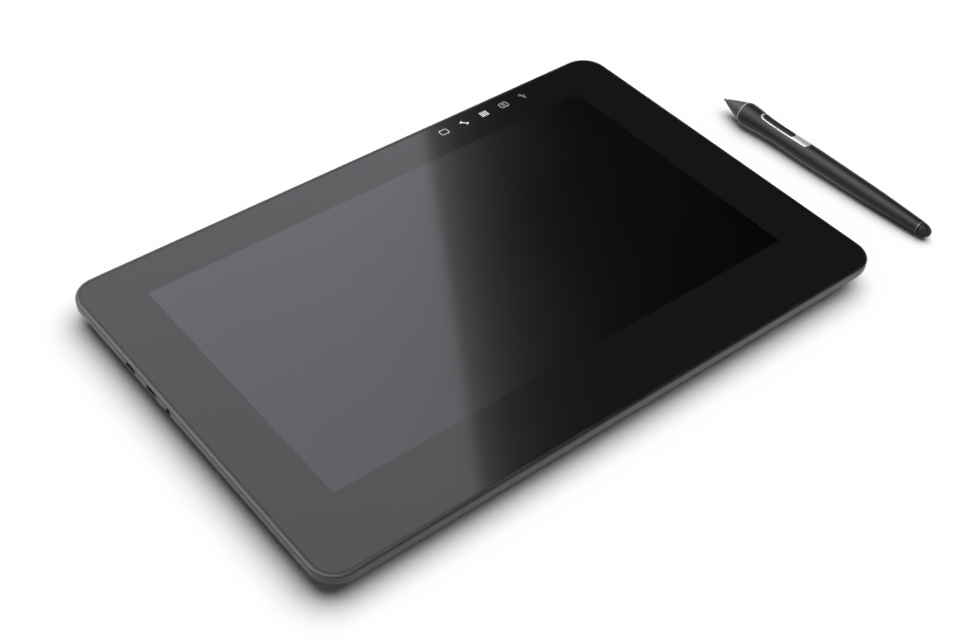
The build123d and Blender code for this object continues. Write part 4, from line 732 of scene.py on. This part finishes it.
class TABLET_OT_pen(bpy.types.Operator):
    """Finish the pen"""

    bl_idname = "tablet.pen"
    bl_label = "Pen"

    def execute(self, context):
        settings = context.scene.tablet_pen
        inside = context.scene.tablet_inside
        grip = moulded(
            "grip_rubber", settings.rubber, grain=0.22 * MM, roughness=0.42, depth=30 * MICRON,
            swing=0.1, IOR=1.39,
        )
        dress(grip, "pen_grip")
        barrel = moulded(
            "soft_touch", settings.barrel, grain=0.18 * MM, roughness=0.42, depth=20 * MICRON,
            swing=0.08, IOR=1.39,
        )
        dress(barrel, "pen_barrel")
        nose = moulded(
            "satin_nose", settings.nose, grain=0.2 * MM, roughness=0.42, depth=10 * MICRON, swing=0.08
        )
        dress(nose, "pen_nose_cone")
        eraser = moulded(
            "eraser_moulding", settings.rubber, grain=0.25 * MM, roughness=0.5, depth=20 * MICRON,
            swing=0.1, IOR=1.36,
        )
        dress(eraser, "pen_eraser")
        silver = blasted(
            "satin_silver", settings.silver, grain=0.1 * MM, roughness=0.35, depth=2 * MICRON, metal=0.45
        )
        dress(silver, "pen_ring", "pen_switch_bezel")
        collar = blasted(
            "dark_collar", settings.collar, grain=0.1 * MM, roughness=0.4, depth=2 * MICRON, metal=0.8
        )
        dress(collar, "pen_tail_ring")
        dress(pinned_rocker(settings), "pen_switch")
        nib = moulded("nib_moulding", settings.nib, grain=0.2 * MM, roughness=0.5, depth=10 * MICRON)
        dress(nib, "pen_nib")
        winding = brushed(
            "winding", inside.copper, grain=0.12 * MM, roughness=0.3, depth=30 * MICRON, stretch=(0.1, 1, 0.1)
        )
        dress(winding, "pen_coil")
        board = circuit("pen_circuit", inside.mask, inside.solder, settings.trace_pitch)
        dress(board, "pen_board")
        sensor = moulded("sensor_moulding", settings.sensor, grain=0.3 * MM, roughness=0.5, depth=20 * MICRON)
        dress(sensor, "pen_pressure_sensor", "pen_eraser_sensor")
        return {"FINISHED"}


# The stage


def flat(name, low, high, material, seen=True):
    """A flat rectangle of the stage between two opposite corners: level if they have one height, and upright
    if they have one X. If it isn't seen, only reflections show it."""
    (x0, y0, z0), (x1, y1, z1) = low, high
    mesh = bpy.data.meshes.new(name)
    mesh.from_pydata([(x0, y0, z0), (x1, y0, z1), (x1, y1, z1), (x0, y1, z0)], [], [(0, 1, 2, 3)])
    mesh.materials.append(material)
    thing = bpy.data.objects.new(name, mesh)
    bpy.context.scene.collection.objects.link(thing)
    if not seen:
        thing.visible_camera = thing.visible_diffuse = thing.visible_transmission = False
        thing.visible_volume_scatter = thing.visible_shadow = False


def straight(wiring):
    """1 for rays from the camera, from gloss and through glass, and 0 for all others."""
    path = wiring.node("ShaderNodeLightPath").outputs
    clear = wiring.math("MAXIMUM", path["Is Glossy Ray"], path["Is Transmission Ray"])
    return wiring.math("MAXIMUM", path["Is Camera Ray"], clear)


def even_light(settings):
    """Even light from all round, which shows as plain white behind the table and in gloss."""
    world = bpy.data.worlds.new("even_light")
    bpy.context.scene.world = world
    world.use_nodes = True
    wiring = Wiring(world.node_tree)
    background = world.node_tree.nodes["Background"]
    wiring.feed(background.inputs["Color"], WHITE)
    wiring.feed(background.inputs["Strength"], wiring.span(straight(wiring), settings.sky, 1.0))


# Half the table's side
TABLE_HALF = 8.0


def white_table(settings):
    """A wide table that shows as white, but throws less light back on the object."""
    table = Recipe("white_table")
    tone = table.span(straight(table), settings.table, 1.0)
    material = table.surface(table.node("ShaderNodeBsdfDiffuse", Color=tone))
    flat("table", (-TABLE_HALF, -TABLE_HALF, 0), (TABLE_HALF, TABLE_HALF, 0), material)


def glowing(recipe, strength, tone=WHITE):
    """Turns a recipe into plain light of a strength and a colour."""
    return recipe.surface(recipe.node("ShaderNodeEmission", Color=tone, Strength=strength))


# The reflection card's outline in plan, its edge, and the distances from the edge that its glow spans
CARD_LOW, CARD_HIGH = (-3.0, -1.0), (6.0, 6.0)
CARD_EDGE_START = 0.229
CARD_EDGE_SLOPE = 0.626
CARD_GLOW = (-0.02, 0.48)

# Its colour, and its brightness at shares of the glow's span
CARD_TONE = (0.972, 0.995, 1.045)
CARD_LEVELS = (
    (0.0, 1.0), (0.03, 0.93), (0.055, 0.40), (0.17, 0.14), (0.30, 0.05), (0.43, 0.012), (0.62, 0.0),
)


def reflection_card(settings):
    """A card over the table that only gloss sees: bright to the left of a slanting edge, with a glow that
    dies away to the right of it. The edge is where X is its start plus its slope times Y, and the brightness
    depends on the distance from that line."""
    card = Recipe("reflection_card")
    norm = math.hypot(1, CARD_EDGE_SLOPE)
    away = card.along((1 / norm, -CARD_EDGE_SLOPE / norm))
    distance = card.math("SUBTRACT", away, CARD_EDGE_START / norm)
    ramp = card.node("ShaderNodeValToRGB", Fac=card.span(distance, 0.0, 1.0, *CARD_GLOW))
    points = ramp.color_ramp.elements
    for share, _ in CARD_LEVELS[1:-1]:
        points.new(share)
    points[-1].position = CARD_LEVELS[-1][0]
    for point, (_, level) in zip(points, CARD_LEVELS):
        point.color = (*[channel * level for channel in CARD_TONE], 1.0)
    low, high = (*CARD_LOW, settings.card_height), (*CARD_HIGH, settings.card_height)
    flat("reflection_card", low, high, glowing(card, settings.card, ramp.outputs[0]), seen=False)


# The strip light's outline in plan and how far it hangs under the reflection card
STRIP_LOW, STRIP_HIGH = (-1.1, 0.1), (0.22, 2.4)
STRIP_DROP = 0.05

# The upright card to the left, and where along Y its brightness rises from 1 to its setting
SIDE_LOW, SIDE_HIGH = (-1.3, -1.0, 0.02), (-1.3, 2.4, 1.3)
SIDE_RISE = (0.1, 0.6)

# The card between the tablet and the pen, close over the table
PEN_CARD_LOW, PEN_CARD_HIGH = (0.184, -0.13, 0.4 * MM), (0.226, 0.14, 0.4 * MM)


def small_cards(settings):
    """Three smaller cards that only gloss sees: a strip for the frame's edges, an upright card for the left
    wall and a low card for the pen's left side."""
    height = settings.card_height - STRIP_DROP
    strip = glowing(Recipe("strip_light"), settings.strip)
    flat("strip_light", (*STRIP_LOW, height), (*STRIP_HIGH, height), strip, seen=False)
    side = Recipe("side_card")
    _, y, _ = side.axes()
    strength = side.span(y, 1.0, settings.side, *SIDE_RISE)
    flat("side_card", SIDE_LOW, SIDE_HIGH, glowing(side, strength), seen=False)
    pen = glowing(Recipe("pen_card"), settings.pen)
    flat("pen_card", PEN_CARD_LOW, PEN_CARD_HIGH, pen, seen=False)


# The key light's turns about X and Y from straight overhead, in degrees
SUN_TURN = (-3.2, 16.5)


def key_light(settings):
    """The wide key light. It comes from above, leaning over from the right and a little from behind."""
    sun = bpy.data.lights.new("key_light", "SUN")
    sun.energy = settings.sun
    sun.angle = settings.sun_size
    lamp = bpy.data.objects.new("key_light", sun)
    lamp.rotation_euler = (math.radians(SUN_TURN[0]), math.radians(SUN_TURN[1]), 0)
    lamp.visible_glossy = False
    bpy.context.scene.collection.objects.link(lamp)


# The camera's place, its turns about X, Y and Z in degrees, and how far the picture's middle is shifted, in
# shares of the picture's width
CAMERA_PLACE = (-0.400581, -0.459998, 0.572585)
CAMERA_TURN = (45.97518, -1.45686, -38.04171)
CAMERA_SHIFT = (0.03528, -0.00127)


def camera(settings):
    """The camera where the photograph was taken from."""
    data = bpy.data.cameras.new("camera")
    data.sensor_width = 36
    data.lens = settings.lens
    data.shift_x, data.shift_y = CAMERA_SHIFT
    data.clip_start, data.clip_end = 0.01, 50
    thing = bpy.data.objects.new("camera", data)
    thing.location = CAMERA_PLACE
    thing.rotation_euler = [math.radians(turn) for turn in CAMERA_TURN]
    bpy.context.scene.collection.objects.link(thing)
    bpy.context.scene.camera = thing


class TABLET_OT_stage(bpy.types.Operator):
    """Set the table, the lights, the reflection cards and the camera"""

    bl_idname = "tablet.stage"
    bl_label = "Stage"

    def execute(self, context):
        settings = context.scene.tablet_stage
        context.scene.view_settings.view_transform = "Standard"
        even_light(settings)
        white_table(settings)
        reflection_card(settings)
        small_cards(settings)
        key_light(settings)
        camera(settings)
        return {"FINISHED"}


# The panel and the add-on


class TABLET_PT_panel(bpy.types.Panel):
    """Buttons and settings of the pen display"""

    bl_label = "Pen display"
    bl_space_type = "VIEW_3D"
    bl_region_type = "UI"
    bl_category = "Pen display"

    def draw(self, context):
        for operator in OPERATORS:
            self.layout.operator(operator.bl_idname)
        for name, group in SETTINGS.items():
            box = self.layout.box()
            for field in group.__annotations__:
                box.prop(getattr(context.scene, name), field)


OPERATORS = (
    TABLET_OT_glass,
    TABLET_OT_keys,
    TABLET_OT_body,
    TABLET_OT_ports,
    TABLET_OT_inside,
    TABLET_OT_pen,
    TABLET_OT_stage,
)
SETTINGS = {
    "tablet_glass": GlassSettings,
    "tablet_body": BodySettings,
    "tablet_inside": InsideSettings,
    "tablet_pen": PenSettings,
    "tablet_stage": StageSettings,
}


def register():
    """Adds the settings, the operators and the panel."""
    for group in SETTINGS.values():
        bpy.utils.register_class(group)
    for item in (*OPERATORS, TABLET_PT_panel):
        bpy.utils.register_class(item)
    for name, group in SETTINGS.items():
        setattr(bpy.types.Scene, name, PointerProperty(type=group))


def unregister():
    """Takes them away again."""
    for name in SETTINGS:
        delattr(bpy.types.Scene, name)
    for item in (TABLET_PT_panel, *reversed(OPERATORS)):
        bpy.utils.unregister_class(item)
    for group in SETTINGS.values():
        bpy.utils.unregister_class(group)


def main():
    """Registers the add-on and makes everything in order."""
    register()
    bpy.ops.tablet.glass()
    bpy.ops.tablet.keys()
    bpy.ops.tablet.body()
    bpy.ops.tablet.ports()
    bpy.ops.tablet.inside()
    bpy.ops.tablet.pen()
    bpy.ops.tablet.stage()


if __name__ == "__main__":
    main()
